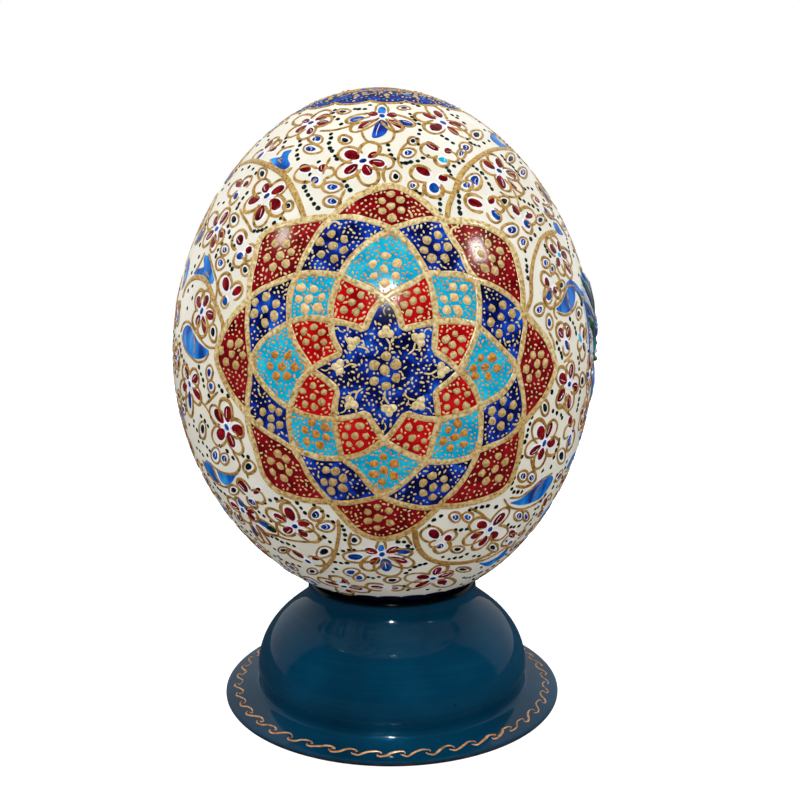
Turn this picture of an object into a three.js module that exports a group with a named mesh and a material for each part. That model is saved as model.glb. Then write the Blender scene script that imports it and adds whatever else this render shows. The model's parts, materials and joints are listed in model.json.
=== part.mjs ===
// A lacquered ostrich egg resting on the open collar of a spun, enamelled metal stand.
// Millimetres, +Z up. The origin is under the middle of the egg, on the surface the stand rests on.
import * as THREE from "three";

// ---- driving dimensions ----
const EGG_RADIUS = 62.5; // largest radius of the shell, at its equator
const EGG_HALF_LENGTH = 76.69; // from the equator's plane to either pole
const EGG_TAPER = -0.0207; // first-order difference between the two halves
const EGG_FULLNESS = -0.0454; // second order: a little slimmer than an ellipsoid towards both poles
const EGG_POINT = 0.0012; // third order
const EGG_BEND_2 = 0.9; // a grown shell is not a perfect solid of revolution: sideways bend at the poles
const EGG_BEND_3 = -1.525; // and its third-order part
const EGG_LEAN_DEG = -0.512; // the egg leans a little to -X on its stand
const EGG_CENTRE_Z = 104.785; // height of the equator's centre above the surface
const EGG_RINGS = 26;
const EGG_SEGMENTS = 52;

const STAND_X = 2.403; // the stand's axis, a little to one side of the egg's widest circle
const STAND_SEGMENTS = 48;
const FLANGE_RADIUS = 52.05; // outer radius of the foot flange
const FLANGE_EDGE = 0.95; // thickness of the sheet at the flange's edge
const FOOT_INNER = 46.6; // the flat underside runs from here to the edge
const WALL = 1.4; // sheet thickness of the dome and collar
const COLLAR_RADIUS = 26.3; // outer radius of the collar under the rim
const RIM_TOP = 34.45; // height of the rounded rim that carries the egg
const RIM_RADIUS = 25.25; // radius of the rim's crest

// Outer face of the dome and the collar, from the fillet at the flange up to the neck: [radius, height].
const DOME = [
  [41.85, 3.05],
  [41.76, 4.2],
  [42.0, 6.3],
  [42.14, 8.2],
  [41.85, 10.5],
  [41.25, 13.0],
  [40.04, 16.0],
  [38.18, 19.0],
  [35.57, 22.0],
  [32.65, 24.5],
  [29.98, 26.5],
  [28.24, 28.0],
  [27.17, 29.2],
  [26.6, 30.2],
  [26.36, 31.2],
];

const group = new THREE.Group();
const deg = THREE.MathUtils.degToRad;

// ---- egg ----
// Meridian: radius against height, pole to pole, normalised so that the widest ring is EGG_RADIUS.
function meridian() {
  const raw = (s) =>
    Math.sqrt(Math.max(0, 1 - s * s)) *
    (1 + EGG_TAPER * s + EGG_FULLNESS * s * s + EGG_POINT * s * s * s);
  let widest = 0;
  for (let i = -1000; i <= 1000; i++) widest = Math.max(widest, raw(i / 1000));
  const points = [];
  for (let i = 0; i <= EGG_RINGS; i++) {
    const s = Math.sin(-Math.PI / 2 + (Math.PI * i) / EGG_RINGS);
    const r = i === 0 || i === EGG_RINGS ? 0 : (EGG_RADIUS * raw(s)) / widest;
    points.push(new THREE.Vector2(r, EGG_HALF_LENGTH * s));
  }
  return points;
}

const eggGeometry = new THREE.LatheGeometry(meridian(), EGG_SEGMENTS);
eggGeometry.rotateX(Math.PI / 2); // the lathe turns about Y: stand it up along Z
const position = eggGeometry.getAttribute("position");
for (let i = 0; i < position.count; i++) {
  const s = position.getZ(i) / EGG_HALF_LENGTH;
  position.setX(i, position.getX(i) + EGG_BEND_2 * s * s + EGG_BEND_3 * s * s * s);
}
eggGeometry.computeVertexNormals();

const egg = new THREE.Mesh(
  eggGeometry,
  new THREE.MeshStandardMaterial({ color: 0xf0ecd8, roughness: 0.28, metalness: 0.0 }),
);
egg.name = "egg";
egg.rotation.y = deg(EGG_LEAN_DEG);
egg.position.set(0, 0, EGG_CENTRE_Z);
group.add(egg);

// ---- stand ----
// One spun sheet: flat foot flange, fillet, domed body, narrow collar and a rounded rim, open above and below.
function standProfile() {
  const outer = [
    [FLANGE_RADIUS - 0.15, 0],
    [FLANGE_RADIUS, 0.25],
    [FLANGE_RADIUS, 0.7],
    [FLANGE_RADIUS - 0.35, FLANGE_EDGE],
    [50.4, 1.16],
    [48.5, 1.45],
    [46.4, 1.78],
    [44.2, 2.14],
    [42.9, 2.38],
    [42.2, 2.62],
    ...DOME,
    [COLLAR_RADIUS, 32.3],
    [COLLAR_RADIUS - 0.1, RIM_TOP - 1.35],
    [COLLAR_RADIUS - 0.33, RIM_TOP - 0.7],
    [RIM_RADIUS + 0.4, RIM_TOP - 0.2],
    [RIM_RADIUS, RIM_TOP],
    [RIM_RADIUS - 0.4, RIM_TOP - 0.15],
    [RIM_RADIUS - 0.6, RIM_TOP - 0.6],
    [RIM_RADIUS - 0.62, RIM_TOP - 1.6],
  ];
  // Inner face: the dome's outer face moved in by the sheet's thickness, from the collar down to the foot.
  const inner = [];
  for (let i = DOME.length - 1; i >= 0; i--) {
    const a = DOME[Math.max(0, i - 1)];
    const b = DOME[Math.min(DOME.length - 1, i + 1)];
    const along = new THREE.Vector2(b[0] - a[0], b[1] - a[1]).normalize();
    inner.push([DOME[i][0] - WALL * along.y, DOME[i][1] + WALL * along.x]);
  }
  const foot = [
    [41.4, 1.75],
    [42.7, 1.05],
    [44.2, 0.6],
    [45.6, 0.2],
    [FOOT_INNER, 0],
  ];
  return [...outer, ...inner, ...foot].map(([r, z]) => new THREE.Vector2(r, z));
}

const profile = standProfile();
profile.push(profile[0].clone()); // the profile closes on itself
const standGeometry = new THREE.LatheGeometry(profile, STAND_SEGMENTS);
standGeometry.rotateX(Math.PI / 2);
const stand = new THREE.Mesh(
  standGeometry,
  new THREE.MeshStandardMaterial({ color: 0x0f4a6c, roughness: 0.22, metalness: 0.0 }),
);
stand.name = "stand";
stand.position.set(STAND_X, 0, 0);
group.add(stand);

export default group;
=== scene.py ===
import json
import math
import random

import bpy
import numpy as np
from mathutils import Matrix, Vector, kdtree
from mathutils.geometry import delaunay_2d_cdt

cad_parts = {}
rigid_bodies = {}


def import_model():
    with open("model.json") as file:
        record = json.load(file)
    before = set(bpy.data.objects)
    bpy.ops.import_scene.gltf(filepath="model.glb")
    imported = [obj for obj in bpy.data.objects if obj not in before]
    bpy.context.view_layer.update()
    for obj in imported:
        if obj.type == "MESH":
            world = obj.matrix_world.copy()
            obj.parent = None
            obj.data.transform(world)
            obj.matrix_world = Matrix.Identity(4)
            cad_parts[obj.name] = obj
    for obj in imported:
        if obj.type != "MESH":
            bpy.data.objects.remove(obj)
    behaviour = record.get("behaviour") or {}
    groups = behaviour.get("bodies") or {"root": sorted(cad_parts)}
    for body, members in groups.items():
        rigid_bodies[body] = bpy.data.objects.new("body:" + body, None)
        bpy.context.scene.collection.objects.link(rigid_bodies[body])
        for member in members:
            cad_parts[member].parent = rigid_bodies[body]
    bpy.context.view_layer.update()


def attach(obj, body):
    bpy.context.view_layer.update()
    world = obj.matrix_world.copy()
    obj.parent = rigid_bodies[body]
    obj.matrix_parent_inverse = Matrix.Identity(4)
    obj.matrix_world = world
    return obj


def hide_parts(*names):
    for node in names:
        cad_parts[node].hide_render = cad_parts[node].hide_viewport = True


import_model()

MM = 0.001
rng = np.random.default_rng(20)
random.seed(20)

# ------------------------------------------------------------------ the egg's surface
A, B = 62.5, 76.69
K1, K2, K3 = -0.0207, -0.0454, 0.0012
BEND2, BEND3 = 0.9, -1.525
LEAN = math.radians(-0.512)
ZC = 104.785
SX = 2.403  # the stand's axis


def g_of(s):
    return 1 + K1 * s + K2 * s * s + K3 * s ** 3


_s = np.linspace(-1, 1, 4001)
NORM = float(np.max(np.sqrt(1 - _s * _s) * g_of(_s)))
CL, SL = math.cos(LEAN), math.sin(LEAN)


def to_local(p):
    x, y, z = p[..., 0], p[..., 1], p[..., 2] - ZC
    return np.stack([CL * x - SL * z, y, SL * x + CL * z], -1)


def to_world(p):
    x, y, z = p[..., 0], p[..., 1], p[..., 2]
    return np.stack([CL * x + SL * z, y, -SL * x + CL * z + ZC], -1)


def bend_of(s):
    return BEND2 * s * s + BEND3 * s ** 3


def on_egg(p):
    """Local points moved along their ray from the middle onto the shell, local in and out."""
    p = np.array(p, float)
    for _ in range(7):
        s = np.clip(p[..., 2] / B, -1.2, 1.2)
        g = g_of(np.clip(s, -1, 1))
        rho2 = (p[..., 0] - bend_of(s)) ** 2 + p[..., 1] ** 2
        h = rho2 * NORM ** 2 / (A * A * g * g) + s * s
        p = p / np.sqrt(np.maximum(h, 1e-9))[..., None]
    return p


def egg_normal(p):
    """Outward normals at local surface points, in world axes."""
    s = np.clip(p[..., 2] / B, -1, 1)
    g = g_of(s)
    dg = K1 + 2 * K2 * s + 3 * K3 * s * s
    db = 2 * BEND2 * s + 3 * BEND3 * s * s
    ax = p[..., 0] - bend_of(s)
    q = NORM ** 2 / (A * A * g * g)
    rho2 = ax ** 2 + p[..., 1] ** 2
    nx = 2 * ax * q
    ny = 2 * p[..., 1] * q
    nz = (2 * s - 2 * rho2 * q * dg / g - 2 * ax * db * q) / B
    n = np.stack([nx, ny, nz], -1)
    n /= np.linalg.norm(n, axis=-1, keepdims=True)
    x, z = n[..., 0], n[..., 2]
    return np.stack([CL * x + SL * z, n[..., 1], -SL * x + CL * z], -1)


# ------------------------------------------------------------------ the camera and the drawing plane in front of it
CAM = np.array([4.880, -260.280, 120.325])
PITCH = math.radians(6.679)
F = 850.0
CP, SP = math.cos(PITCH), math.sin(PITCH)
TURN = 0.0  # the same drawing is placed on the far side with a half turn


def hit(px):
    """Drawing-plane points to points on the shell: (world points, world normals)."""
    px = np.atleast_2d(np.asarray(px, float))
    a, b = (px[:, 0] - 400) / F, (px[:, 1] - 400) / F
    d = np.stack([a, CP - b * SP, -SP - b * CP], -1)
    o = to_local(CAM[None, :])[0]
    dl = to_local(d + np.array([0, 0, ZC]))
    t = np.full(len(px), 200.0)
    t = t / np.linalg.norm(dl, axis=1)
    s = np.clip((o[2] + t * dl[:, 2]) / B, -1, 1)
    for _ in range(8):
        g = g_of(s)
        bx = bend_of(s)
        qa = NORM / (A * g)
        ox, oy, oz = (o[0] - bx) * qa, o[1] * qa, o[2] / B
        dx, dy, dz = dl[:, 0] * qa, dl[:, 1] * qa, dl[:, 2] / B
        aa = dx * dx + dy * dy + dz * dz
        bb = ox * dx + oy * dy + oz * dz
        cc = ox * ox + oy * oy + oz * oz - 1
        disc = np.maximum(bb * bb - aa * cc, 0)
        t = (-bb - np.sqrt(disc)) / aa
        s = np.clip((o[2] + t * dl[:, 2]) / B, -1, 1)
    p = o[None, :] + t[:, None] * dl
    if TURN:
        c, sn = math.cos(TURN), math.sin(TURN)
        p = np.stack([c * p[:, 0] - sn * p[:, 1], sn * p[:, 0] + c * p[:, 1], p[:, 2]], -1)
    p = on_egg(p)
    return to_world(p), egg_normal(p)


def press(world):
    """World points moved onto the shell: (world points, normals)."""
    p = on_egg(to_local(np.asarray(world, float)))
    return to_world(p), egg_normal(p)


class Chart:
    """A flat drawing patch, in millimetres, laid on the shell around one point."""

    def __init__(self, point, normal, up):
        self.p, self.n = np.asarray(point, float), np.asarray(normal, float)
        u = np.asarray(up, float)
        u = u - self.n * np.dot(u, self.n)
        self.e2 = u / np.linalg.norm(u)
        self.e1 = np.cross(self.e2, self.n)

    def to(self, world):
        d = np.asarray(world) - self.p
        return np.stack([d @ self.e1, d @ self.e2], -1)

    def at(self, xy):
        xy = np.atleast_2d(np.asarray(xy, float))
        return press(self.p + xy[:, :1] * self.e1 + xy[:, 1:] * self.e2)


def chart_px(px, up=(0, 0, 1)):
    p, n = hit([px])
    return Chart(p[0], n[0], up)


def chart_at(azimuth, height, spin=0.0):
    """A chart at an azimuth (degrees, 0 = +X, -90 = the viewer) and a height above the surface."""
    z = height - ZC
    s = max(-0.999, min(0.999, z / B))
    r = A * math.sqrt(1 - s * s) * g_of(s) / NORM
    a = math.radians(azimuth)
    p, n = press(np.array([[r * math.cos(a), r * math.sin(a), height]]))
    up = np.array([0, 0, 1.0])
    side = np.cross(up, n[0])
    side /= np.linalg.norm(side)
    u = np.cross(n[0], side)
    c, q = math.cos(spin), math.sin(spin)
    return Chart(p[0], n[0], u * c + side * q)


# ------------------------------------------------------------------ mesh batches
class Batch:
    def __init__(self):
        self.v, self.f, self.n = [], [], 0

    def add(self, verts, tris):
        verts = np.asarray(verts, float).reshape(-1, 3)
        tris = np.asarray(tris, int).reshape(-1, 3)
        self.v.append(verts)
        self.f.append(tris + self.n)
        self.n += len(verts)


def new_piece(name, verts, faces, material, smooth=True, replaces=None):
    me = bpy.data.meshes.new(name)
    v = (np.asarray(verts, float) * MM).tolist()
    f = faces.tolist() if isinstance(faces, np.ndarray) else faces
    me.from_pydata(v, [], f)
    me.validate()
    me.update()
    if smooth:
        me.polygons.foreach_set("use_smooth", [True] * len(me.polygons))
    me.materials.append(material)
    ob = bpy.data.objects.new(name, me)
    bpy.context.scene.collection.objects.link(ob)
    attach(ob, "root")
    if replaces:
        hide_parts(replaces)
    return ob


def outline_offsets(n):
    return np.arange(n), (np.arange(n) + 1) % n


def ribbon(batch, p, n, width, high=0.2, closed=False, wide=False, low=-0.04, taper=True):
    """A brushed line along shell points p with normals n."""
    m = len(p)
    if m < 2:
        return
    if closed:
        t = np.roll(p, -1, 0) - np.roll(p, 1, 0)
    else:
        t = np.gradient(p, axis=0)
    t /= np.maximum(np.linalg.norm(t, axis=1, keepdims=True), 1e-9)
    side = np.cross(t, n)
    side /= np.maximum(np.linalg.norm(side, axis=1, keepdims=True), 1e-9)
    w = np.broadcast_to(np.asarray(width, float), (m,)).copy()
    if not closed and taper and m > 3:
        w[0] *= 0.55
        w[-1] *= 0.55
    if wide:
        prof = [(-0.5, low), (-0.42, high * 0.62), (-0.2, high), (0.2, high), (0.42, high * 0.62), (0.5, low)]
    else:
        prof = [(-0.5, low), (-0.24, high), (0.24, high), (0.5, low)]
    k = len(prof)
    rows = np.stack([p + side * (w * a)[:, None] + n * h for a, h in prof], 1)  # m,k,3
    verts = rows.reshape(-1, 3)
    idx = np.arange(m * k).reshape(m, k)
    if closed:
        nxt = np.roll(idx, -1, 0)
        a, b = idx, nxt
    else:
        a, b = idx[:-1], idx[1:]
    q1 = np.stack([a[:, :-1], a[:, 1:], b[:, 1:]], -1).reshape(-1, 3)
    q2 = np.stack([a[:, :-1], b[:, 1:], b[:, :-1]], -1).reshape(-1, 3)
    tris = np.concatenate([q1, q2])
    # face direction: side x along must point outwards
    e1 = verts[tris[:, 1]] - verts[tris[:, 0]]
    e2 = verts[tris[:, 2]] - verts[tris[:, 0]]
    nn = np.repeat(n, k, 0)
    out = np.einsum("ij,ij->i", np.cross(e1, e2), nn[tris[:, 0]])
    if np.sum(out) < 0:
        tris = tris[:, ::-1]
    if not closed:
        ends = []
        base = len(verts)
        extra = []
        for which, sgn in ((0, -1), (m - 1, 1)):
            tip = p[which] + t[which] * sgn * w[which] * 0.5 + n[which] * low
            extra.append(tip)
            row = idx[which]
            c = base + len(extra) - 1
            for j in range(k - 1):
                tri = [row[j], row[j + 1], c]
                vv = [verts[row[j]], verts[row[j + 1]], tip]
                nrm = np.cross(vv[1] - vv[0], vv[2] - vv[0])
                if np.dot(nrm, n[which] * 0.7 + t[which] * sgn) < 0:
                    tri = tri[::-1]
                ends.append(tri)
        verts = np.concatenate([verts, np.array(extra)])
        tris = np.concatenate([tris, np.array(ends)])
    batch.add(verts, tris)


def dome(batch, p, n, rim, high, ring=0.62, low=-0.04, crown=0.72):
    """A small raised blob or drop: rim (m,3) around the point p with normal n, both on the shell."""
    m = len(rim)
    c = p
    mid = c + (rim - c) * ring
    verts = np.concatenate([rim + n * low, mid + n * high * crown, (c + n * high)[None]])
    i, j = outline_offsets(m)
    t = [np.stack([i, j, m + j], -1), np.stack([i, m + j, m + i], -1), np.stack([m + i, m + j, np.full(m, 2 * m)], -1)]
    tris = np.concatenate(t)
    e1 = verts[tris[:, 1]] - verts[tris[:, 0]]
    e2 = verts[tris[:, 2]] - verts[tris[:, 0]]
    if np.sum(np.cross(e1, e2) @ n) < 0:
        tris = tris[:, ::-1]
    batch.add(verts, tris)


def film(batch, xy, place, high=0.05, cell=None, low=-0.05):
    """A flat film of paint with a closed outline xy in its drawing's own units; place maps those to the shell. cell is the inner point spacing."""
    xy = np.asarray(xy, float)
    keep = np.linalg.norm(xy - np.roll(xy, 1, 0), axis=1) > 1e-4
    xy = xy[keep]
    m = len(xy)
    inner = np.zeros((0, 2))
    if cell:
        lo, hi = xy.min(0), xy.max(0)
        gx, gy = np.meshgrid(np.arange(lo[0] + cell / 2, hi[0], cell), np.arange(lo[1] + cell / 2, hi[1], cell))
        cand = np.stack([gx.ravel(), gy.ravel()], -1)
        if len(cand):
            ins = inside(cand, xy)
            cand = cand[ins]
            if len(cand):
                cand = cand[edge_distance(cand, xy) > cell * 0.4]
            inner = cand
    pts = [Vector((float(a), float(b))) for a, b in np.concatenate([xy, inner])]
    res = delaunay_2d_cdt(pts, [], [list(range(m))], 1, 1e-5)
    vv = np.array([[a.x, a.y] for a in res[0]])
    faces = []
    for f in res[2]:
        f = list(f)
        for k in range(1, len(f) - 1):
            faces.append((f[0], f[k], f[k + 1]))
    if not faces:
        return
    tris = np.array(faces)
    P, N = place(vv)
    verts = P + N * high
    e1 = verts[tris[:, 1]] - verts[tris[:, 0]]
    e2 = verts[tris[:, 2]] - verts[tris[:, 0]]
    flip = np.einsum("ij,ij->i", np.cross(e1, e2), N[tris[:, 0]]) < 0
    tris[flip] = tris[flip][:, ::-1]
    batch.add(verts, tris)
    # the film's edge goes down into the shell
    P, N = place(xy)
    up, dn = P + N * high, P + N * low
    i, j = outline_offsets(m)
    q = np.concatenate([np.stack([i, j, m + j], -1), np.stack([i, m + j, m + i], -1)])
    v2 = np.concatenate([up, dn])
    mid = P.mean(0)
    cen = v2[q].mean(1) - mid
    e1 = v2[q[:, 1]] - v2[q[:, 0]]
    e2 = v2[q[:, 2]] - v2[q[:, 0]]
    if np.sum(np.einsum("ij,ij->i", np.cross(e1, e2), cen)) < 0:
        q = q[:, ::-1]
    batch.add(v2, q)
    return verts


def inside(pts, poly):
    x, y = pts[:, 0], pts[:, 1]
    res = np.zeros(len(pts), bool)
    x1, y1 = poly[:, 0], poly[:, 1]
    x2, y2 = np.roll(x1, -1), np.roll(y1, -1)
    for a, b, c, d in zip(x1, y1, x2, y2):
        if b == d:
            continue
        cond = ((b > y) != (d > y)) & (x < (c - a) * (y - b) / (d - b) + a)
        res ^= cond
    return res


def edge_distance(pts, poly):
    a = poly
    b = np.roll(poly, -1, 0)
    ab = b - a
    L = np.maximum((ab ** 2).sum(1), 1e-12)
    d = pts[:, None, :] - a[None]
    t = np.clip((d * ab[None]).sum(2) / L[None], 0, 1)
    q = d - t[..., None] * ab[None]
    return np.sqrt((q ** 2).sum(2)).min(1)


def spline(pts, closed=False, step=2.5):
    """Catmull-Rom curve through the points, and the index of each given point in it."""
    pts = np.asarray(pts, float)
    m = len(pts)
    if m == 2 and not closed:
        L = np.linalg.norm(pts[1] - pts[0])
        k = max(2, int(L / step) + 1)
        t = np.linspace(0, 1, k)[:, None]
        return pts[0] * (1 - t) + pts[1] * t, [0, k - 1]
    if closed:
        ext = np.concatenate([pts[-1:], pts, pts[:2]])
        nseg = m
    else:
        ext = np.concatenate([2 * pts[:1] - pts[1:2], pts, 2 * pts[-1:] - pts[-2:-1]])
        nseg = m - 1
    out, marks = [], []
    for i in range(nseg):
        p0, p1, p2, p3 = ext[i], ext[i + 1], ext[i + 2], ext[i + 3]
        L = np.linalg.norm(p2 - p1)
        k = max(1, int(round(L / step)))
        marks.append(len(out))
        for j in range(k):
            t = j / k
            out.append(0.5 * (2 * p1 + (p2 - p0) * t + (2 * p0 - 5 * p1 + 4 * p2 - p3) * t * t + (3 * p1 - p0 - 3 * p2 + p3) * t ** 3))
    if not closed:
        marks.append(len(out))
        out.append(pts[-1])
    return np.array(out), marks


def wobble(m, amount, seed, cells=7.0):
    """Smooth brush-pressure variation around 1."""
    r = np.random.default_rng(seed)
    k = max(3, int(m / cells) + 2)
    return 1 + amount * np.interp(np.linspace(0, k - 1, m), np.arange(k), r.uniform(-1, 1, k))


SEED = [0]


def stroke_px(batch, pts, width, high=0.2, closed=False, wide=False, step=2.5, jitter=0.14):
    c, _ = spline(pts, closed, step)
    p, n = hit(c)
    SEED[0] += 1
    ribbon(batch, p, n, width * wobble(len(p), jitter, SEED[0]), high, closed, wide)
    return p


def stroke_chart(batch, chart, pts, width, high=0.2, closed=False, step=0.8, jitter=0.14, wide=False):
    c, _ = spline(pts, closed, step)
    p, n = chart.at(c)
    SEED[0] += 1
    ribbon(batch, p, n, width * wobble(len(p), jitter, SEED[0]), high, closed, wide)
    return p


# ------------------------------------------------------------------ paints
G = {k: Batch() for k in ("gold", "arc", "line", "azure", "beadgrey", "beadpale", "fleur", "goldblob", "goldwarm", "warmfine", "violet_shaded", "cream", "maroon", "crimson", "turquoise", "navy", "royal", "red", "white", "dark", "violet")}
OCC = []  # shell points already taken, for the filling of the flanks


def take(p):
    OCC.append(np.asarray(p, float).reshape(-1, 3))


def blob(kind, c, r, high=0.45, long=1.0, ang=0.0, sides=9, chart=None, rough=0.1, low=-0.04):
    """A raised drop of paint at a drawing-plane point (or a chart point), radius in mm."""
    if chart is None:
        ch = chart_px(c)
        o = np.zeros(2)
    else:
        ch, o = chart, np.asarray(c, float)
    a = np.linspace(0, 2 * math.pi, sides, endpoint=False)
    rr = r * (1 + rng.uniform(-rough, rough, sides))
    x, y = rr * np.cos(a) * long, rr * np.sin(a)
    ca, sa = math.cos(ang), math.sin(ang)
    xy = np.stack([ca * x - sa * y, sa * x + ca * y], -1) + o
    p, n = ch.at(np.concatenate([xy, o[None]]))
    dome(G[kind], p[-1], n[-1], p[:-1], high, low=low)


def drop_xy(L, W, m=8, fat=0.62, sharp=0.85, blunt=0.5):
    """Teardrop outline from its point at (0,0) to its round end at (L,0)."""
    u = (1 - np.cos(np.linspace(0, math.pi, m + 1))) / 2
    f = np.power(u, sharp) * np.power(np.maximum(1 - u, 0), blunt)
    f = f / f.max() * W / 2
    top = np.stack([u * L, f], -1)
    bot = np.stack([u[::-1] * L, -f[::-1]], -1)[1:-1]
    return np.concatenate([top, bot])


def turned(xy, ang, o=(0, 0)):
    c, s = math.cos(ang), math.sin(ang)
    return np.stack([c * xy[:, 0] - s * xy[:, 1], s * xy[:, 0] + c * xy[:, 1]], -1) + np.asarray(o, float)


def paint_drop(kind, chart, o, ang, L, W, white=0.36, high=0.12, streak=False, sharp=0.62):
    """A colour drop with a white edge, its point at o, running along ang."""
    o = np.asarray(o, float)
    d = np.array([math.cos(ang), math.sin(ang)])
    if white:
        xy = turned(drop_xy(L + 2 * white, W + 2 * white, sharp=sharp * 0.8), ang, o - d * white)
        p, n = chart.at(np.concatenate([xy, (o + d * L * 0.55)[None]]))
        dome(G["white"], p[-1], n[-1], p[:-1], 0.07, ring=0.8, crown=0.95, low=-0.04)
    xy = turned(drop_xy(L, W, sharp=sharp), ang, o)
    p, n = chart.at(np.concatenate([xy, (o + d * L * 0.58)[None]]))
    dome(G[kind], p[-1], n[-1], p[:-1], high, ring=0.72, crown=0.92, low=0.02)
    if streak:
        side = np.array([-d[1], d[0]])
        a = o + d * L * 0.3 + side * W * 0.08
        b = o + d * L * 0.75 + side * W * 0.16
        stroke_chart(G["white"], chart, [a, (a + b) / 2 + side * 0.08, b], 0.2, high + 0.05, step=0.7)


def petal_loop(chart, tip, width, start=0.16, lw=0.98):
    """A gold loop that leaves the flower's middle and comes back to it."""
    tip = np.asarray(tip, float)
    L = float(np.linalg.norm(tip))
    ang = math.atan2(tip[1], tip[0])
    u = (1 - np.cos(np.linspace(0, math.pi, 13))) / 2
    f = np.power(u, 0.55) * np.power(np.maximum(1 - u, 0), 0.42)
    f = f / f.max() * width / 2
    top = np.stack([u * L, f], -1)
    bot = np.stack([u[::-1] * L, -f[::-1]], -1)[1:]
    xy = np.concatenate([top, bot])
    xy = xy[(xy[:, 0] > start * L)]
    xy = turned(xy, ang)
    c, _ = spline(xy, False, 0.75)
    p, n = chart.at(c)
    SEED[0] += 1
    ribbon(G["line"], p, n, lw * wobble(len(p), 0.34, SEED[0], 5), 0.17)
    take(p)


DROP = {"": (4.7, 2.95), "b": (5.2, 3.55), "s": (3.6, 2.35), "l": (6.1, 2.6), "n": (4.4, 1.75)}
TINT = {"r": "red", "b": "royal", "d": "dark", "c": "turquoise", "n": "navy"}


def flower(c, tips, drops, heart="b", chart=None):
    """A flower: gold loops to the tips, white-edged drops, a small heart. Points are on the drawing plane, or in mm with a chart."""
    if chart is None:
        ch = chart_px(c)
        T = ch.to(hit(tips)[0]) if len(tips) else np.zeros((0, 2))
        D = [ch.to(hit([d[:2]])[0])[0] for d in drops]
    else:
        ch = chart
        T = np.array(tips, float).reshape(-1, 2)
        D = [np.array(d[:2], float) for d in drops]
    ang = sorted(math.atan2(t[1], t[0]) for t in T)
    for t in T:
        L = float(np.linalg.norm(t))
        a = math.atan2(t[1], t[0])
        gaps = [abs((a - b + math.pi) % (2 * math.pi) - math.pi) for b in ang]
        gaps = [x for x in gaps if x > 1e-3]
        near = min(gaps) if gaps else 2.0
        w = min(0.86 * L, 2 * L * 0.62 * math.tan(min(near, 1.5) / 2) + 0.9, 5.0)
        petal_loop(ch, t, max(w, 2.1))
    for d, q in zip(drops, D):
        col = d[2][0]
        L, W = DROP[d[2][1:2]]
        R = float(np.linalg.norm(q))
        a = math.atan2(q[1], q[0])
        if R < 1.5:
            paint_drop(TINT[col], ch, q - np.array([math.cos(a), math.sin(a)]) * L * 0.4, a, L * 0.8, W * 0.75)
            continue
        L = max(min(L, 2 * (R - 1.0)), 2.2)
        u = np.array([math.cos(a), math.sin(a)])
        o = q - u * L * 0.52
        paint_drop(TINT[col], ch, o, a, L, W, streak=bool(rng.random() < 0.45))
    if heart:
        xy = turned(drop_xy(2.5, 1.9, sharp=0.5), rng.uniform(0, 6.28))
        xy = xy - xy.mean(0)
        p, n = ch.at(np.concatenate([xy * 1.3, [[0, 0]]]))
        dome(G["white"], p[-1], n[-1], p[:-1], 0.13, ring=0.8, crown=0.95)
        p, n = ch.at(np.concatenate([xy, [[0, 0]]]))
        dome(G[TINT[heart]], p[-1], n[-1], p[:-1], 0.2, ring=0.7, crown=0.9)
    take(ch.p)


def ellipse(cx, cy, rx, ry, m=14, ang=0.0):
    a = np.linspace(0, 2 * math.pi, m, endpoint=False)
    return turned(np.stack([rx * np.cos(a), ry * np.sin(a)], -1), ang, (cx, cy))


def film_px(kind, xy, high, low=0.0, ring=0.75, crown=0.96):
    """A small convex patch given on the drawing plane."""
    xy = np.asarray(xy, float)
    p, n = hit(np.concatenate([xy, xy.mean(0)[None]]))
    dome(G[kind], p[-1], n[-1], p[:-1], high, ring=ring, crown=crown, low=low)
    return p


def bud(cx, cy, x0, y0, x1, y1, kind="royal", lw=0.8):
    """A bud or dark eye: gold loop in the box, white ring, colour drop."""
    mx, my, rx, ry = (x0 + x1) / 2, (y0 + y1) / 2, (x1 - x0) / 2, (y1 - y0) / 2
    dx, dy = cx - mx, cy - my
    a0 = rng.uniform(0, 6.28)

    def shape(k, ox, oy, m):
        a = np.linspace(0, 2 * math.pi, m, endpoint=False)
        r = k * (0.94 + 0.34 * np.maximum(np.cos(a - a0), 0) ** 5)
        return np.stack([mx + ox + np.maximum(rx - 0.8, 1.0) * r * np.cos(a), my + oy + np.maximum(ry - 0.8, 1.0) * r * np.sin(a)], -1)

    c, _ = spline(shape(1.0, 0, 0, 16), True, 2.2)
    p, n = hit(c)
    SEED[0] += 1
    ribbon(G["line"], p, n, lw * wobble(len(p), 0.35, SEED[0]), 0.16, closed=True)
    take(p)
    film_px("white", shape(0.82, dx * 0.4, dy * 0.4, 16), 0.08, low=-0.04)
    film_px(kind, shape(0.6, dx * 0.6, dy * 0.6, 16), 0.14, low=0.02)
    if kind == "royal" and min(rx, ry) > 4.5:
        s = rng.choice([-1, 1])
        q = np.array([[mx + s * 0.9 - 0.25 * rx * s, my - 0.3 * ry], [mx + s * 0.6, my], [mx + s * 0.9 - 0.2 * rx * s, my + 0.3 * ry]])
        stroke_px(G["white"], q, 0.24, 0.2, step=1.5)
        film_px("navy", ellipse(mx - s * rx * 0.2, my + 0.1 * ry, rx * 0.18, ry * 0.32, 8), 0.17, low=0.06)


def dots(chain, r=0.74):
    """A chain of small dark dots, each a little longer along the chain."""
    q = np.asarray(chain, float)
    P, N = hit(q)
    take(P)
    for i in range(len(q)):
        a, b = P[max(i - 1, 0)], P[min(i + 1, len(q) - 1)]
        ch = Chart(P[i], N[i], (0, 0, 1))
        d = b - a
        ang = math.atan2(d @ ch.e2, d @ ch.e1) if len(q) > 1 else rng.uniform(0, 3.14)
        k = rng.uniform(0.82, 1.12)
        blob("dark", (0, 0), r * k * 0.92, 0.2, long=1.14, ang=ang, sides=8, chart=ch, rough=0.12)


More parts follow.
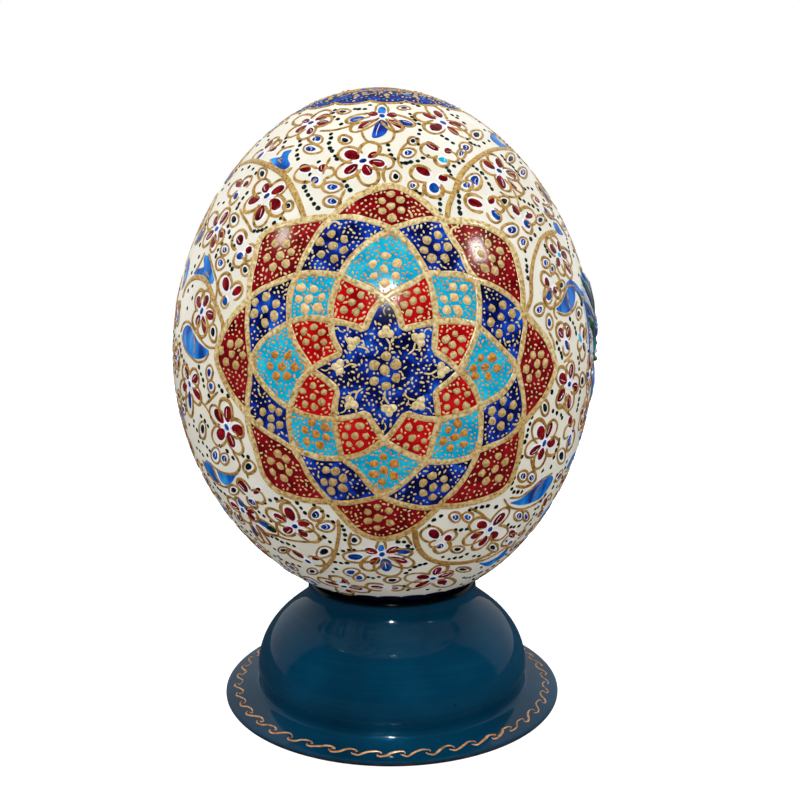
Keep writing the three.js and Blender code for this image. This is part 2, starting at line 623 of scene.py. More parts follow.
# ------------------------------------------------------------------ the rosette: two families of eight interlaced arcs
V = {1: (331, 218), 2: (443, 221), 3: (523, 311), 4: (522, 424), 5: (439, 506), 6: (331, 502), 7: (247, 414), 8: (249, 298)}
NN = {1: (392, 229), 2: (476, 280), 3: (517, 367), 4: (478, 451), 5: (381, 496), 6: (294, 449), 7: (251, 362), 8: (297, 275)}
XX = {1: (427, 274), 2: (478, 326), 3: (480, 406), 4: (427, 461), 5: (343, 458), 6: (290, 408), 7: (289, 323), 8: (340, 276)}
TT = {1: (385, 298), 2: (436, 322), 3: (459, 371), 4: (438, 419), 5: (384, 440), 6: (334, 419), 7: (312, 369), 8: (331, 321)}
MMP = {1: (403, 329), 2: (434, 351), 3: (435, 391), 4: (406, 413), 5: (367, 413), 6: (338, 390), 7: (341, 353), 8: (364, 330)}
NODE = {}
for _k in range(1, 9):
    NODE["V%d" % _k], NODE["N%d" % _k], NODE["X%d" % _k], NODE["T%d" % _k], NODE["M%d" % _k] = V[_k], NN[_k], XX[_k], TT[_k], MMP[_k]

ARC_A = {
    1: ["V1", (352, 217), (374, 222), "N1", (404, 239), (416, 254), "X1", (432, 290), (435, 307), "T2", (435, 338), "M2"],
    2: ["V2", (448, 232), (455, 243), (461, 252), (465, 262), (470, 272), "N2", (479, 300), (479, 312), "X2", (472, 345), (466, 358), "T3", (450, 380), (440, 388), "M3"],
    3: ["V3", (525, 325), (523, 340), (521, 352), "N3", (513, 378), (505, 390), (495, 398), "X3", (470, 411), (455, 416), "T4", (422, 418), "M4"],
    4: ["V4", (510, 436), (498, 443), "N4", (470, 457), (455, 461), (440, 462), "X4", (412, 456), (400, 450), "T5", (377, 430), (371, 421), "M5"],
    5: ["V5", (425, 508), (410, 506), (395, 502), "N5", (375, 491), (366, 481), (357, 470), "X5", (338, 440), (335, 428), "T6", (335, 405), "M6"],
    6: ["V6", (318, 488), (308, 474), (302, 462), "N6", (290, 430), (289, 418), "X6", (297, 388), (303, 378), "T7", (325, 361), "M7"],
    7: ["V7", (248, 395), (250, 380), "N7", (258, 347), (266, 338), (277, 330), "X7", (300, 319), (315, 318), "T8", (348, 324), "M8"],
    8: ["V8", (262, 289), (280, 281), "N8", (315, 273), "X8", (356, 283), (372, 290), "T1", (396, 308), "M1"],
}
ARC_B = {
    1: ["V1", (325, 224), (316, 236), (308, 250), (301, 264), "N8", (291, 290), (289, 305), "X7", (292, 335), (298, 348), (305, 359), "T7", (325, 379), "M6"],
    2: ["V2", (428, 219), (410, 223), "N1", (375, 238), (360, 249), (348, 262), "X8", (335, 290), (331, 305), "T8", (333, 337), "M7"],
    3: ["V3", (510, 297), (493, 286), "N2", (460, 275), (443, 274), "X1", (412, 283), (398, 290), "T1", (374, 309), "M8"],
    4: ["V4", (524, 410), (523, 395), (520, 380), "N3", (510, 357), (500, 347), (490, 337), "X2", (470, 323), (455, 321), "T2", (420, 325), "M1"],
    5: ["V5", (444, 500), (455, 490), (465, 477), (472, 465), "N4", (480, 440), (481, 425), "X3", (476, 393), (470, 382), "T3", (447, 360), "M2"],
    6: ["V6", (345, 503), (360, 501), "N5", (395, 489), (408, 479), (420, 467), "X4", (431, 448), (435, 433), "T4", (437, 405), "M3"],
    7: ["V7", (255, 423), (268, 433), (280, 440), "N6", (308, 454), (322, 458), "X5", (355, 456), (368, 451), "T5", (393, 431), "M4"],
    8: ["V8", (248, 310), (247, 325), (248, 340), "N7", (258, 377), (268, 390), (280, 402), "X6", (303, 414), (318, 418), "T6", (350, 417), "M5"],
}
EDGE = {
    1: [(345, 205), (362, 194), (388, 186), (405, 190), (420, 199), (432, 209)],
    2: [(460, 221), (480, 224), (500, 234), (512, 248), (517, 262), (521, 280), (523, 297)],
    3: [(535, 325), (545, 337), (552, 352), (556, 367), (553, 378), (548, 390), (540, 403), (532, 413)],
    4: [(521, 440), (519, 455), (515, 470), (510, 482), (502, 491), (488, 498), (470, 503), (455, 506)],
    5: [(425, 520), (413, 529), (398, 536), (383, 539), (370, 537), (356, 530), (345, 519), (335, 508)],
    6: [(305, 500), (290, 496), (275, 489), (264, 476), (259, 462), (255, 447), (250, 432)],
    7: [(236, 400), (228, 388), (222, 375), (217, 362), (217, 350), (222, 335), (230, 320), (240, 308)],
    8: [(250, 280), (254, 262), (258, 245), (265, 233), (280, 226), (300, 221), (320, 218)],
}
BLOBS = {
    "maroon": {
        1: [(391, 194), (382, 201), (400, 200), (391, 206), (382, 211), (401, 210), (392, 218)],
        2: [(488, 244), (500, 251), (481, 254), (492, 258), (485, 268), (501, 264), (495, 271)],
        3: [(533, 355), (541, 354), (537, 364), (545, 363), (526, 369), (538, 374), (529, 378)],
        4: [(498, 456), (505, 462), (486, 463), (495, 469), (482, 473), (499, 478), (486, 481)],
        5: [(377, 507), (368, 512), (389, 511), (378, 518), (368, 521), (390, 523), (377, 528)],
        6: [(278, 454), (286, 459), (271, 461), (280, 466), (289, 472), (273, 472), (284, 478)],
        7: [(230, 344), (239, 343), (221, 351), (232, 354), (243, 355), (226, 362), (236, 365)],
        8: [(275, 243), (286, 244), (291, 252), (280, 256), (267, 258), (273, 267), (286, 264)],
    },
    "navy": {
        1: [(331, 234), (344, 239), (320, 242), (333, 246), (344, 250), (321, 254), (334, 259)],
        2: [(427, 240), (438, 235), (424, 250), (437, 247), (448, 247), (432, 258), (445, 258)],
        3: [(492, 308), (503, 305), (512, 313), (501, 317), (491, 322), (511, 328), (499, 333)],
        4: [(503, 401), (513, 405), (492, 411), (502, 413), (510, 417), (492, 421), (501, 426)],
        5: [(432, 476), (444, 479), (423, 483), (433, 487), (445, 488), (423, 493), (433, 497)],
        6: [(326, 470), (336, 471), (343, 478), (333, 482), (324, 482), (331, 491), (343, 488)],
        7: [(272, 408), (263, 412), (279, 412), (271, 418), (260, 422), (271, 428), (280, 425)],
        8: [(266, 297), (255, 302), (276, 304), (265, 309), (254, 314), (274, 316), (265, 323)],
    },
    "turquoise": {
        1: [(386, 256), (373, 264), (397, 263), (384, 269), (374, 276), (396, 276), (385, 283)],
        2: [(453, 287), (464, 288), (444, 299), (454, 297), (467, 300), (447, 310), (458, 310)],
        3: [(481, 358), (492, 358), (473, 368), (485, 367), (497, 368), (475, 376), (488, 376)],
        4: [(458, 424), (448, 430), (464, 433), (455, 437), (443, 441), (464, 444), (450, 448)],
        5: [(383, 457), (374, 464), (394, 464), (384, 470), (374, 474), (394, 476), (382, 482)],
        6: [(312, 423), (325, 427), (305, 430), (316, 434), (326, 437), (307, 441), (320, 445)],
        7: [(275, 355), (288, 356), (270, 366), (282, 367), (295, 367), (276, 376), (287, 376)],
        8: [(301, 288), (314, 289), (299, 299), (309, 299), (322, 297), (305, 309), (318, 308)],
    },
    "crimson": {
        1: [(407, 294), (417, 291), (404, 305), (413, 301), (423, 299), (409, 313), (420, 310)],
        2: [(455, 334), (446, 339), (462, 339), (452, 345), (445, 350), (461, 351), (453, 355)],
        3: [(457, 391), (446, 397), (467, 394), (457, 402), (447, 407), (466, 406), (456, 412)],
        4: [(409, 427), (420, 428), (400, 437), (412, 438), (424, 441), (406, 446), (417, 448)],
        5: [(348, 427), (360, 426), (345, 436), (355, 436), (366, 436), (349, 444), (360, 444)],
        6: [(313, 386), (303, 391), (324, 392), (313, 397), (305, 404), (322, 402), (314, 407)],
        7: [(314, 327), (304, 331), (322, 332), (315, 338), (306, 342), (324, 342), (317, 347)],
        8: [(350, 291), (341, 298), (361, 295), (352, 302), (361, 306), (344, 310), (356, 312)],
    },
    "star": {1: [(385, 370), (386, 356), (396, 364), (396, 378), (386, 386), (374, 381), (374, 365)]},
}
FLEURS = [(386, 334, 340), (418, 340, 0), (441, 370, 0), (418, 403, 0), (389, 408, 0), (352, 402, 0), (340, 367, 0), (354, 344, 0)]


def dense(arc):
    pts = [NODE[a] if isinstance(a, str) else a for a in arc]
    c, marks = spline(pts, False, 2.4)
    return c, {a: marks[i] for i, a in enumerate(arc) if isinstance(a, str)}


DA = {k: dense(v) for k, v in ARC_A.items()}
DB = {k: dense(v) for k, v in ARC_B.items()}
DO = {k: dense(["V%d" % k] + EDGE[k] + ["V%d" % (k % 8 + 1)]) for k in EDGE}


def w8(k):
    return (k - 1) % 8 + 1


def part(d, a, b):
    c, marks = d
    i, j = marks[a], marks[b]
    return c[i : j + 1] if i <= j else c[j : i + 1][::-1]


def cell(*runs):
    out = []
    for r in runs:
        out.extend(r[:-1].tolist())
    out = np.array(out)
    keep = np.linalg.norm(out - np.roll(out, 1, 0), axis=1) > 0.25
    return out[keep]


def cells():
    out = []
    for k in range(1, 9):
        k1, k2, k3, km = w8(k + 1), w8(k + 2), w8(k + 3), w8(k - 1)
        v, v1, nk, nm = "V%d" % k, "V%d" % k1, "N%d" % k, "N%d" % km
        x, xm, t, t1, m = "X%d" % k, "X%d" % km, "T%d" % k, "T%d" % k1, "M%d" % k
        out.append(("maroon", k, cell(part(DO[k], v, v1), part(DB[k1], v1, nk), part(DA[k], nk, v))))
        out.append(("navy", k, cell(part(DA[k], v, nk), part(DB[k1], nk, xm), part(DA[km], xm, nm), part(DB[k], nm, v))))
        out.append(("turquoise", k, cell(part(DA[k], nk, x), part(DB[k2], x, t), part(DA[km], t, xm), part(DB[k1], xm, nk))))
        out.append(("crimson", k, cell(part(DA[k], x, t1), part(DB[k3], t1, m), part(DA[km], m, t), part(DB[k2], t, x))))
    runs = []
    for k in range(1, 9):
        t, m, t1 = "T%d" % k, "M%d" % k, "T%d" % w8(k + 1)
        runs += [part(DA[w8(k - 1)], t, m), part(DB[w8(k + 3)], m, t1)]
    out.append(("star", 1, cell(*runs)))
    return out


CELLS = cells()
PXMM = 3.24  # drawing units per mm at the shell's front


def scatter(poly, avoid, gap, margin, seed, tries=1400):
    """Hand-placed looking dots inside a cell, clear of its edge and of what is in it already."""
    r = np.random.default_rng(seed)
    lo, hi = poly.min(0), poly.max(0)
    cand = r.uniform(lo, hi, (tries, 2))
    cand = cand[inside(cand, poly)]
    if not len(cand):
        return cand
    cand = cand[edge_distance(cand, poly) > margin]
    got = []
    av = np.array([a[:2] for a in avoid]).reshape(-1, 2)
    ar = np.array([a[2] for a in avoid])
    for c in cand:
        if len(av) and np.any(np.hypot(*(av - c).T) < ar):
            continue
        if got and np.min(np.hypot(*(np.array(got) - c).T)) < gap:
            continue
        got.append(c)
    return np.array(got)


def draw_rosette():
    for kind, k, poly in CELLS:
        base = "navy" if kind == "star" else kind
        take(film(G[base], poly, hit, 0.05, cell=6.5))
        lst = BLOBS[kind][k]
        bk = {"crimson": "beadgrey", "turquoise": "beadpale" if poly[:, 1].mean() < 335 else "goldwarm"}.get(kind, "goldblob")
        rad = {"maroon": 1.28, "navy": 1.28, "turquoise": 1.25, "crimson": 1.1, "star": 1.3}[kind]
        avoid = []
        for c in lst:
            f = rng.uniform(0.86, 1.1)
            blob(bk, c, rad * f * (0.86 if kind == "crimson" else 0.95), 0.5, long=rng.uniform(0.95, 1.2), ang=rng.uniform(0, 3.14), sides=10, rough=0.16)
            avoid.append((c[0], c[1], rad * PXMM * f + (3.0 if kind in ("crimson", "navy") else 2.3)))
        mid = poly.mean(0)
        # crescents at the narrow ends
        if kind in ("maroon", "navy", "turquoise"):
            if kind == "maroon":
                ends = [np.array(V[k], float), np.array(V[w8(k + 1)], float)]
            elif kind == "navy":
                ends = [np.array(V[k], float), np.array(XX[w8(k - 1)], float)]
            else:
                ends = [np.array(NN[k], float), np.array(TT[k], float)]
            for e in ends:
                d = mid - e
                L = np.linalg.norm(d)
                d = d / L
                c = e + d * min(0.36 * L, 17)
                a0 = math.atan2(-d[1], -d[0])
                sgn = 1 if rng.random() < 0.5 else -1
                for rr, spread in ((7.6, 1.2), (6.2, 1.4), (5.0, 1.5)):
                    aa = a0 + sgn * np.linspace(-spread, spread, 8)
                    q = np.stack([c[0] + rr * np.cos(aa), c[1] + rr * np.sin(aa)], -1)
                    if np.all(inside(q, poly)) and edge_distance(q, poly).min() > 1.9 and min(np.hypot(*(q - b).T).min() for b in np.array(lst, float)) > 4.4:
                        stroke_px(G["warmfine" if kind == "turquoise" else "cream"], q, 0.68, 0.2, step=1.6, jitter=0.3)
                        for z in q[::2]:
                            avoid.append((z[0], z[1], 2.6))
                        break
        if kind == "star":
            for fx, fy, _ in FLEURS:
                d = np.array([fx - 387.0, fy - 371.0])
                d /= np.linalg.norm(d)
                s = np.array([-d[1], d[0]])
                c = np.array([fx, fy], float)
                for off, tilt in ((0, 0), (1, 0.85), (-1, -0.85)):
                    dd = d * math.cos(tilt) + s * math.sin(tilt) * (1 if off >= 0 else 1)
                    q0 = c - d * 3.5
                    tipp = q0 + dd * (13.0 if off == 0 else 10.0)
                    ch = chart_px(q0)
                    t2 = ch.to(hit([tipp])[0])[0]
                    LL = float(np.linalg.norm(t2))
                    xy = turned(drop_xy(LL, 2.0, sharp=0.7), math.atan2(t2[1], t2[0]))
                    p, n = ch.at(np.concatenate([xy, (t2 * 0.6)[None]]))
                    dome(G["fleur"], p[-1], n[-1], p[:-1], 0.42, ring=0.6)
                st = c - d * 4
                en = c - d * 17 + s * 3
                stroke_px(G["cream"], [st, (st + en) / 2 + s * 2.2, en], 0.56, 0.2, step=2)
                stroke_px(G["cream"], [c - d * 2 + s * 6, c - d * 6 + s * 7.5, c - d * 9 + s * 4.5], 0.4, 0.2, step=2)
                avoid += [(c[0] + d[0] * 2, c[1] + d[1] * 2, 7.5), (c[0] - d[0] * 4, c[1] - d[1] * 4, 5.0)]
                m2 = (st + en) / 2
                avoid.append((m2[0], m2[1], 3.0))
            # long points of the star
            for k2 in range(1, 9):
                t = np.array(TT[k2], float)
                d = np.array([386.0, 370.0]) - t
                d /= np.linalg.norm(d)
                q = t + d * 9
                stroke_px(G["cream"], [q, q + d * 4 + np.array([-d[1], d[0]]) * 1.6, q + d * 8], 0.4, 0.18, step=2)
                avoid.append((q[0] + d[0] * 4, q[1] + d[1] * 4, 4.0))
        pts = scatter(poly, avoid, 3.7, 4.1, 100 + k + 17 * len(kind), 2400)
        if len(pts):
            P, N = hit(pts)
            for i in range(len(pts)):
                ch = Chart(P[i], N[i], (0, 0, 1))
                longer = rng.random() < 0.42
                blob("warmfine" if kind == "turquoise" else "cream", (0, 0), rng.uniform(0.27, 0.37), 0.2, long=rng.uniform(1.6, 2.5) if longer else rng.uniform(1.0, 1.35), ang=rng.uniform(0, 3.14), sides=6, chart=ch, rough=0.12)
    for d, w in ((DA, 1.62), (DB, 1.62), (DO, 1.95)):
        for k in d:
            c = d[k][0]
            p, n = hit(c)
            SEED[0] += 1
            ribbon(G["arc"], p, n, w * wobble(len(p), 0.12, SEED[0], 4), 0.24, wide=True, taper=d is not DO)
            take(p)


# ------------------------------------------------------------------ the flowering ground
FLOWERS = [
    (382, 116, "b", [(346, 121), (351, 131), (415, 125), (400, 131)], [(373, 114, "r"), (357, 119, "b"), (366, 124, "rl"), (392, 115, "r"), (406, 123, "b"), (397, 124, "rl")]),
    (363, 161, "b", [(340, 150), (374, 142), (394, 163), (372, 185), (337, 177)], [(352, 155, "rb"), (373, 155, "rs"), (377, 163, "r"), (367, 170, "r"), (351, 169, "r")]),
    (311, 123, "b", [(297, 118), (329, 110), (332, 120), (304, 139), (287, 136)], [(306, 121, "rs"), (322, 117, "r"), (323, 123, "r"), (301, 129, "r"), (310, 131, "rs")]),
    (321, 176, "", [(295, 173), (334, 170), (317, 187)], [(305, 168, "r"), (323, 168, "r"), (315, 180, "b")]),
    (443, 123, "b", [(414, 115), (430, 105), (466, 128), (470, 138), (427, 131)], [(429, 116, "r"), (438, 114, "r"), (455, 124, "r"), (453, 131, "r"), (436, 127, "rb")]),
    (443, 155, "", [(421, 147), (458, 158), (441, 166)], [(432, 146, "r"), (448, 151, "rs"), (443, 160, "c")]),
    (434, 179, "", [(411, 170), (459, 188), (433, 197)], [(423, 171, "r"), (443, 178, "rl"), (434, 188, "b")]),
    (499, 171, "b", [(481, 165), (492, 154), (518, 177), (524, 192), (506, 191)], [(489, 165, "r"), (499, 163, "r"), (511, 174, "r"), (512, 184, "rn"), (501, 182, "rb")]),
    (267, 196, "b", [(258, 182), (287, 182), (283, 213), (259, 227), (244, 208)], [(266, 188, "r"), (278, 190, "r"), (275, 204, "rb"), (260, 213, "rb"), (254, 200, "r")]),
    (241, 191, "", [(231, 187), (250, 176), (230, 203)], [(239, 183, "r"), (246, 184, "rs"), (236, 196, "b")]),
    (264, 152, "", [(278, 137), (281, 141), (253, 158)], [(269, 144, "r"), (273, 149, "rs"), (260, 156, "b")]),
    (520, 220, "", [(508, 205), (534, 213), (532, 231)], [(516, 210, "r"), (529, 216, "rn"), (527, 224, "b")]),
    (488, 207, "", [(465, 200), (502, 203), (499, 222)], [(475, 203, "r"), (491, 200, "rs"), (496, 215, "b")]),
    (217, 229, "b", [(211, 216), (229, 208), (222, 241), (213, 252), (203, 243)], [(216, 221, "r"), (224, 218, "r"), (222, 233, "r"), (214, 241, "r"), (210, 235, "r")]),
    (243, 248, "", [(236, 233), (254, 256), (237, 267)], [(240, 240, "r"), (249, 250, "rs"), (240, 256, "b")]),
    (229, 297, "", [(222, 275), (242, 286), (222, 306)], [(226, 284, "r"), (237, 291, "rl"), (225, 301, "b")]),
    (202, 311, "b", [(198, 292), (209, 291), (214, 320), (203, 337), (193, 325)], [(199, 302, "r"), (206, 301, "r"), (210, 315, "r"), (204, 325, "rl"), (198, 320, "r")]),
    (190, 384, "b", [(183, 366), (198, 374), (181, 392), (201, 402), (190, 416)], [(187, 373, "r"), (195, 379, "r"), (185, 387, "r"), (197, 394, "rl"), (190, 400, "bl")]),
    (227, 427, "b", [(210, 408), (225, 399), (244, 430), (241, 454), (214, 442)], [(219, 416, "rb"), (228, 414, "rb"), (238, 430, "rb"), (231, 440, "rb"), (221, 434, "rb")]),
    (251, 496, "", [(238, 480), (264, 497), (253, 507)], [(243, 486, "rb"), (257, 491, "rn"), (252, 502, "b")]),
    (243, 510, "b", [(228, 500), (238, 498), (258, 517), (247, 522)], [(235, 506, "r"), (241, 503, "b"), (250, 510, "r"), (251, 516, "r"), (240, 518, "r")]),
    (250, 518, "", [(263, 543), (270, 545), (279, 534)], [(255, 531, "bl"), (263, 531, "rl"), (264, 524, "b"), (271, 529, "d")]),
    (295, 526, "b", [(286, 503), (266, 511), (313, 526), (319, 541), (279, 531)], [(290, 514, "rb"), (280, 518, "r"), (304, 523, "r"), (303, 533, "r"), (288, 530, "r")]),
    (308, 561, "n", [(287, 551), (323, 561)], [(298, 554, "r"), (316, 558, "rs")]),
    (382, 554, "b", [(343, 558), (412, 553), (365, 570), (413, 566)], [(371, 551, "r"), (355, 557, "b"), (393, 550, "r"), (405, 551, "b"), (375, 561, "r"), (399, 560, "rl")]),
    (344, 586, "b", [(335, 576), (318, 579), (370, 591), (345, 594)], [(345, 581, "rs"), (332, 583, "rl"), (356, 588, "r"), (349, 591, "rs")]),
    (388, 588, "", [(366, 586), (404, 588)], [(377, 587, "rl"), (395, 588, "rs")]),
    (440, 541, "", [(424, 529), (456, 532), (430, 546), (444, 552)], [(434, 534, "r"), (448, 538, "r"), (440, 546, "bs")]),
    (490, 529, "b", [(471, 522), (508, 508), (463, 543), (475, 550), (505, 536)], [(482, 525, "r"), (499, 519, "rb"), (477, 535, "r"), (494, 535, "r"), (483, 541, "r")]),
    (433, 578, "b", [(443, 565), (405, 577), (453, 573), (408, 588), (452, 585)], [(437, 571, "r"), (423, 577, "r"), (445, 575, "r"), (422, 584, "rl"), (442, 582, "r")]),
    (544, 443, "b", [(535, 422), (556, 421), (525, 452), (537, 469), (558, 449)], [(541, 433, "rb"), (549, 430, "rl"), (535, 450, "rl"), (541, 454, "r"), (551, 443, "r")]),
    (559, 255, "c", [(546, 240), (553, 235), (571, 258), (562, 275), (572, 277)], [(553, 249, "r"), (559, 246, "rl"), (564, 255, "r"), (558, 262, "rl"), (567, 267, "rl")]),
    (552, 284, "", [(541, 276), (558, 276), (560, 296), (548, 307)], [(547, 283, "rb"), (555, 290, "rl"), (549, 294, "b")]),
    (541, 207, "", [(532, 196), (553, 213), (551, 217)], [(537, 200, "r"), (548, 206, "rn"), (547, 212, "b")]),
    (565, 341, "", [(558, 324), (568, 325), (567, 355)], [(561, 333, "r"), (568, 332, "r"), (567, 345, "b")]),
    (581, 341, "", [(583, 326), (578, 349), (583, 360)], [(584, 333, "r"), (580, 338, "c"), (584, 347, "rl")]),
    (569, 384, "b", [(571, 361), (557, 372), (579, 384), (557, 406), (570, 410)], [(571, 371, "r"), (563, 379, "rb"), (575, 387, "r"), (561, 395, "rb"), (569, 402, "r")]),
    (571, 430, "", [(564, 433), (574, 420), (570, 449)], [(570, 422, "r"), (573, 430, "rn"), (569, 441, "b")]),
    (515, 539, "", [(504, 540), (525, 530), (508, 548)], [(512, 534, "rl"), (521, 533, "r"), (510, 543, "b")]),
    (545, 507, "", [(548, 496), (538, 516)], [(545, 502, "rl"), (541, 512, "rn")]),
]
# centre x, y, loop box x0, y0, x1, y1
BUDS = [
    (318, 138, 307, 134, 324, 144), (309, 149, 302, 143, 321, 155), (332, 187, 321, 181, 341, 194), (332, 201, 322, 195, 340, 208),
    (408, 153, 400, 147, 415, 159), (466, 148, 459, 142, 473, 154), (461, 153, 456, 148, 466, 160), (475, 179, 467, 172, 483, 191),
    (467, 185, 460, 179, 474, 192), (513, 230, 503, 222, 520, 238), (523, 241, 517, 236, 529, 249), (225, 250, 220, 243, 230, 256),
    (221, 262, 215, 256, 226, 270), (209, 372, 205, 364, 214, 380), (211, 386, 207, 380, 216, 394), (215, 455, 210, 446, 221, 463),
    (224, 458, 220, 452, 230, 466), (315, 515, 308, 508, 325, 522), (326, 527, 318, 520, 336, 533), (350, 572, 342, 567, 361, 576),
    (359, 578, 352, 573, 367, 582), (456, 517, 448, 511, 462, 522), (467, 517, 461, 511, 475, 522), (523, 476, 517, 470, 528, 483),
    (531, 478, 526, 472, 537, 484), (519, 516, 513, 510, 524, 522), (526, 517, 522, 511, 530, 522), (523, 172, 517, 166, 528, 178),
    (546, 263, 541, 257, 551, 269), (552, 269, 549, 264, 556, 275), (539, 310, 533, 303, 545, 317), (549, 323, 545, 315, 554, 331),
    (564, 226, 561, 221, 567, 231), (548, 297, 544, 290, 553, 305), (412, 186, 407, 180, 418, 191),
]
EYES = [
    (342, 112, 336, 108, 350, 115), (345, 141, 338, 135, 353, 145), (396, 177, 389, 171, 402, 183), (404, 108, 396, 105, 410, 111),
    (476, 135, 471, 129, 484, 141), (262, 174, 257, 167, 267, 181), (234, 219, 229, 212, 240, 227), (245, 270, 240, 262, 250, 277),
    (213, 331, 208, 323, 218, 341), (203, 428, 198, 420, 207, 438), (248, 466, 242, 459, 255, 475), (234, 490, 228, 485, 240, 496),
    (504, 201, 496, 195, 511, 207), (511, 159, 505, 152, 516, 164), (540, 220, 535, 214, 545, 226), (354, 540, 348, 535, 362, 546),
    (324, 551, 316, 545, 334, 558), (392, 580, 383, 576, 400, 584), (457, 549, 450, 545, 464, 554), (462, 569, 455, 566, 470, 573),
    (545, 408, 540, 399, 550, 417), (561, 285, 557, 279, 566, 292), (578, 314, 575, 306, 582, 321), (582, 381, 579, 371, 586, 388),
    (561, 456, 556, 448, 566, 465), (283, 550, 277, 546, 289, 554), (312, 571, 306, 567, 318, 575), (492, 547, 487, 542, 499, 552),
    (288, 206, 282, 201, 294, 212), (413, 141, 407, 137, 419, 146),
]
CHAINS = [
    [(331, 134), (331, 138), (329, 143), (330, 148), (332, 151), (335, 156), (337, 159)], [(300, 141), (300, 145), (297, 150), (297, 155), (298, 159)],
    [(388, 145), (389, 150), (391, 155), (394, 159)], [(344, 181), (347, 186), (350, 190)], [(305, 182), (304, 187), (306, 191), (308, 195), (311, 199), (314, 204), (318, 208)],
    [(335, 110), (333, 113), (334, 117), (338, 119), (341, 124)], [(355, 109), (359, 109), (365, 109)], [(401, 103), (407, 102), (413, 104), (418, 106)],
    [(410, 114), (412, 117), (415, 120), (419, 124)], [(420, 130), (419, 134), (417, 139), (418, 144)], [(401, 163), (406, 163), (411, 162), (418, 161), (423, 158), (428, 156)],
    [(411, 193), (416, 191), (420, 194)], [(442, 136), (447, 139), (453, 143)], [(467, 139), (471, 143), (475, 145), (479, 146), (484, 143), (489, 141)],
    [(446, 167), (449, 171), (451, 175)], [(454, 166), (459, 163), (463, 161)], [(473, 166), (477, 169), (482, 173), (486, 178), (489, 184), (492, 189)],
    [(457, 191), (459, 196), (459, 202), (459, 208), (460, 213)], [(440, 199), (440, 204), (440, 210), (441, 216)], [(448, 110), (452, 115), (457, 118), (464, 123)],
    [(502, 156), (505, 160), (509, 164), (513, 167), (516, 171), (519, 175)], [(525, 189), (528, 188), (532, 189)], [(520, 199), (524, 201), (529, 204), (533, 206), (538, 210), (543, 215), (546, 220), (550, 225)],
    [(540, 229), (535, 235), (531, 239)], [(525, 251), (526, 260), (527, 266), (527, 271), (528, 278)], [(247, 193), (243, 198)], [(239, 204), (237, 208)],
    [(228, 226), (229, 232), (230, 237), (232, 241), (234, 246)], [(222, 244), (218, 250), (216, 256)], [(228, 261), (230, 265), (232, 269)], [(254, 231), (258, 231), (262, 230), (266, 228), (274, 223), (281, 218)],
    [(249, 167), (253, 169), (256, 173)], [(286, 138), (285, 142), (283, 147)], [(209, 219), (206, 225), (204, 232), (201, 238), (200, 245)], [(199, 257), (195, 266)],
    [(199, 367), (201, 374), (203, 380), (204, 386), (209, 396)], [(219, 386), (222, 391), (228, 396)], [(180, 344), (181, 350), (182, 356), (184, 361), (187, 365)],
    [(183, 399), (185, 405), (187, 410)], [(201, 416), (205, 421), (208, 426)], [(194, 421), (197, 430), (200, 437), (203, 443)], [(197, 448), (200, 451), (203, 455)],
    [(207, 447), (210, 451)], [(220, 446), (227, 451), (233, 458)], [(243, 456), (248, 457)], [(215, 484), (218, 488), (221, 491), (225, 494), (229, 497)],
    [(265, 503), (270, 500), (276, 499), (282, 498)], [(255, 508), (259, 512), (264, 516), (271, 521)], [(297, 503), (301, 508), (305, 513)], [(314, 505), (322, 511), (328, 516), (333, 522)],
    [(272, 537), (277, 539), (282, 542), (288, 544), (294, 546)], [(232, 517), (236, 522), (242, 527), (247, 531), (251, 535), (256, 539)], [(275, 556), (281, 559), (287, 562), (293, 564), (299, 566)],
    [(324, 537), (330, 542)], [(342, 526), (344, 530), (345, 535), (345, 540)], [(338, 554), (343, 551), (349, 550), (354, 550)], [(335, 562), (341, 563), (347, 563)],
    [(336, 569), (333, 572), (330, 576)], [(368, 577), (373, 578), (379, 577)], [(398, 542), (404, 542), (408, 546), (412, 549)], [(429, 526), (434, 520), (441, 516)],
    [(470, 510), (476, 508), (482, 507), (488, 506), (496, 507)], [(455, 530), (461, 530), (467, 529)], [(438, 553), (443, 557), (449, 559), (455, 558), (461, 557), (467, 554)],
    [(474, 556), (479, 556), (484, 557), (489, 555)], [(406, 573), (410, 570), (415, 567), (420, 565), (425, 564)], [(532, 417), (530, 424), (528, 430), (527, 436), (525, 442)],
    [(522, 457), (519, 463)], [(515, 471), (514, 478), (512, 483), (512, 489), (514, 492), (518, 492)], [(552, 384), (552, 392)], [(553, 411), (557, 413), (561, 415), (562, 418)],
    [(508, 525), (511, 527), (514, 527), (519, 526)], [(557, 343), (559, 349), (561, 353), (562, 357)], [(570, 319), (573, 323), (575, 328), (576, 333)], [(578, 358), (579, 363), (579, 369)],
    [(545, 246), (547, 251), (550, 256)], [(580, 392), (579, 399), (578, 405), (577, 410)], [(559, 440), (558, 444), (556, 450), (554, 457), (551, 467)], [(557, 475), (555, 481), (553, 487)],
    [(565, 468), (562, 477)], [(545, 495), (541, 501), (538, 507), (534, 514), (531, 520)], [(404, 586), (408, 590)], [(481, 572), (487, 570), (493, 566)], [(300, 575), (306, 579), (313, 582)],
]
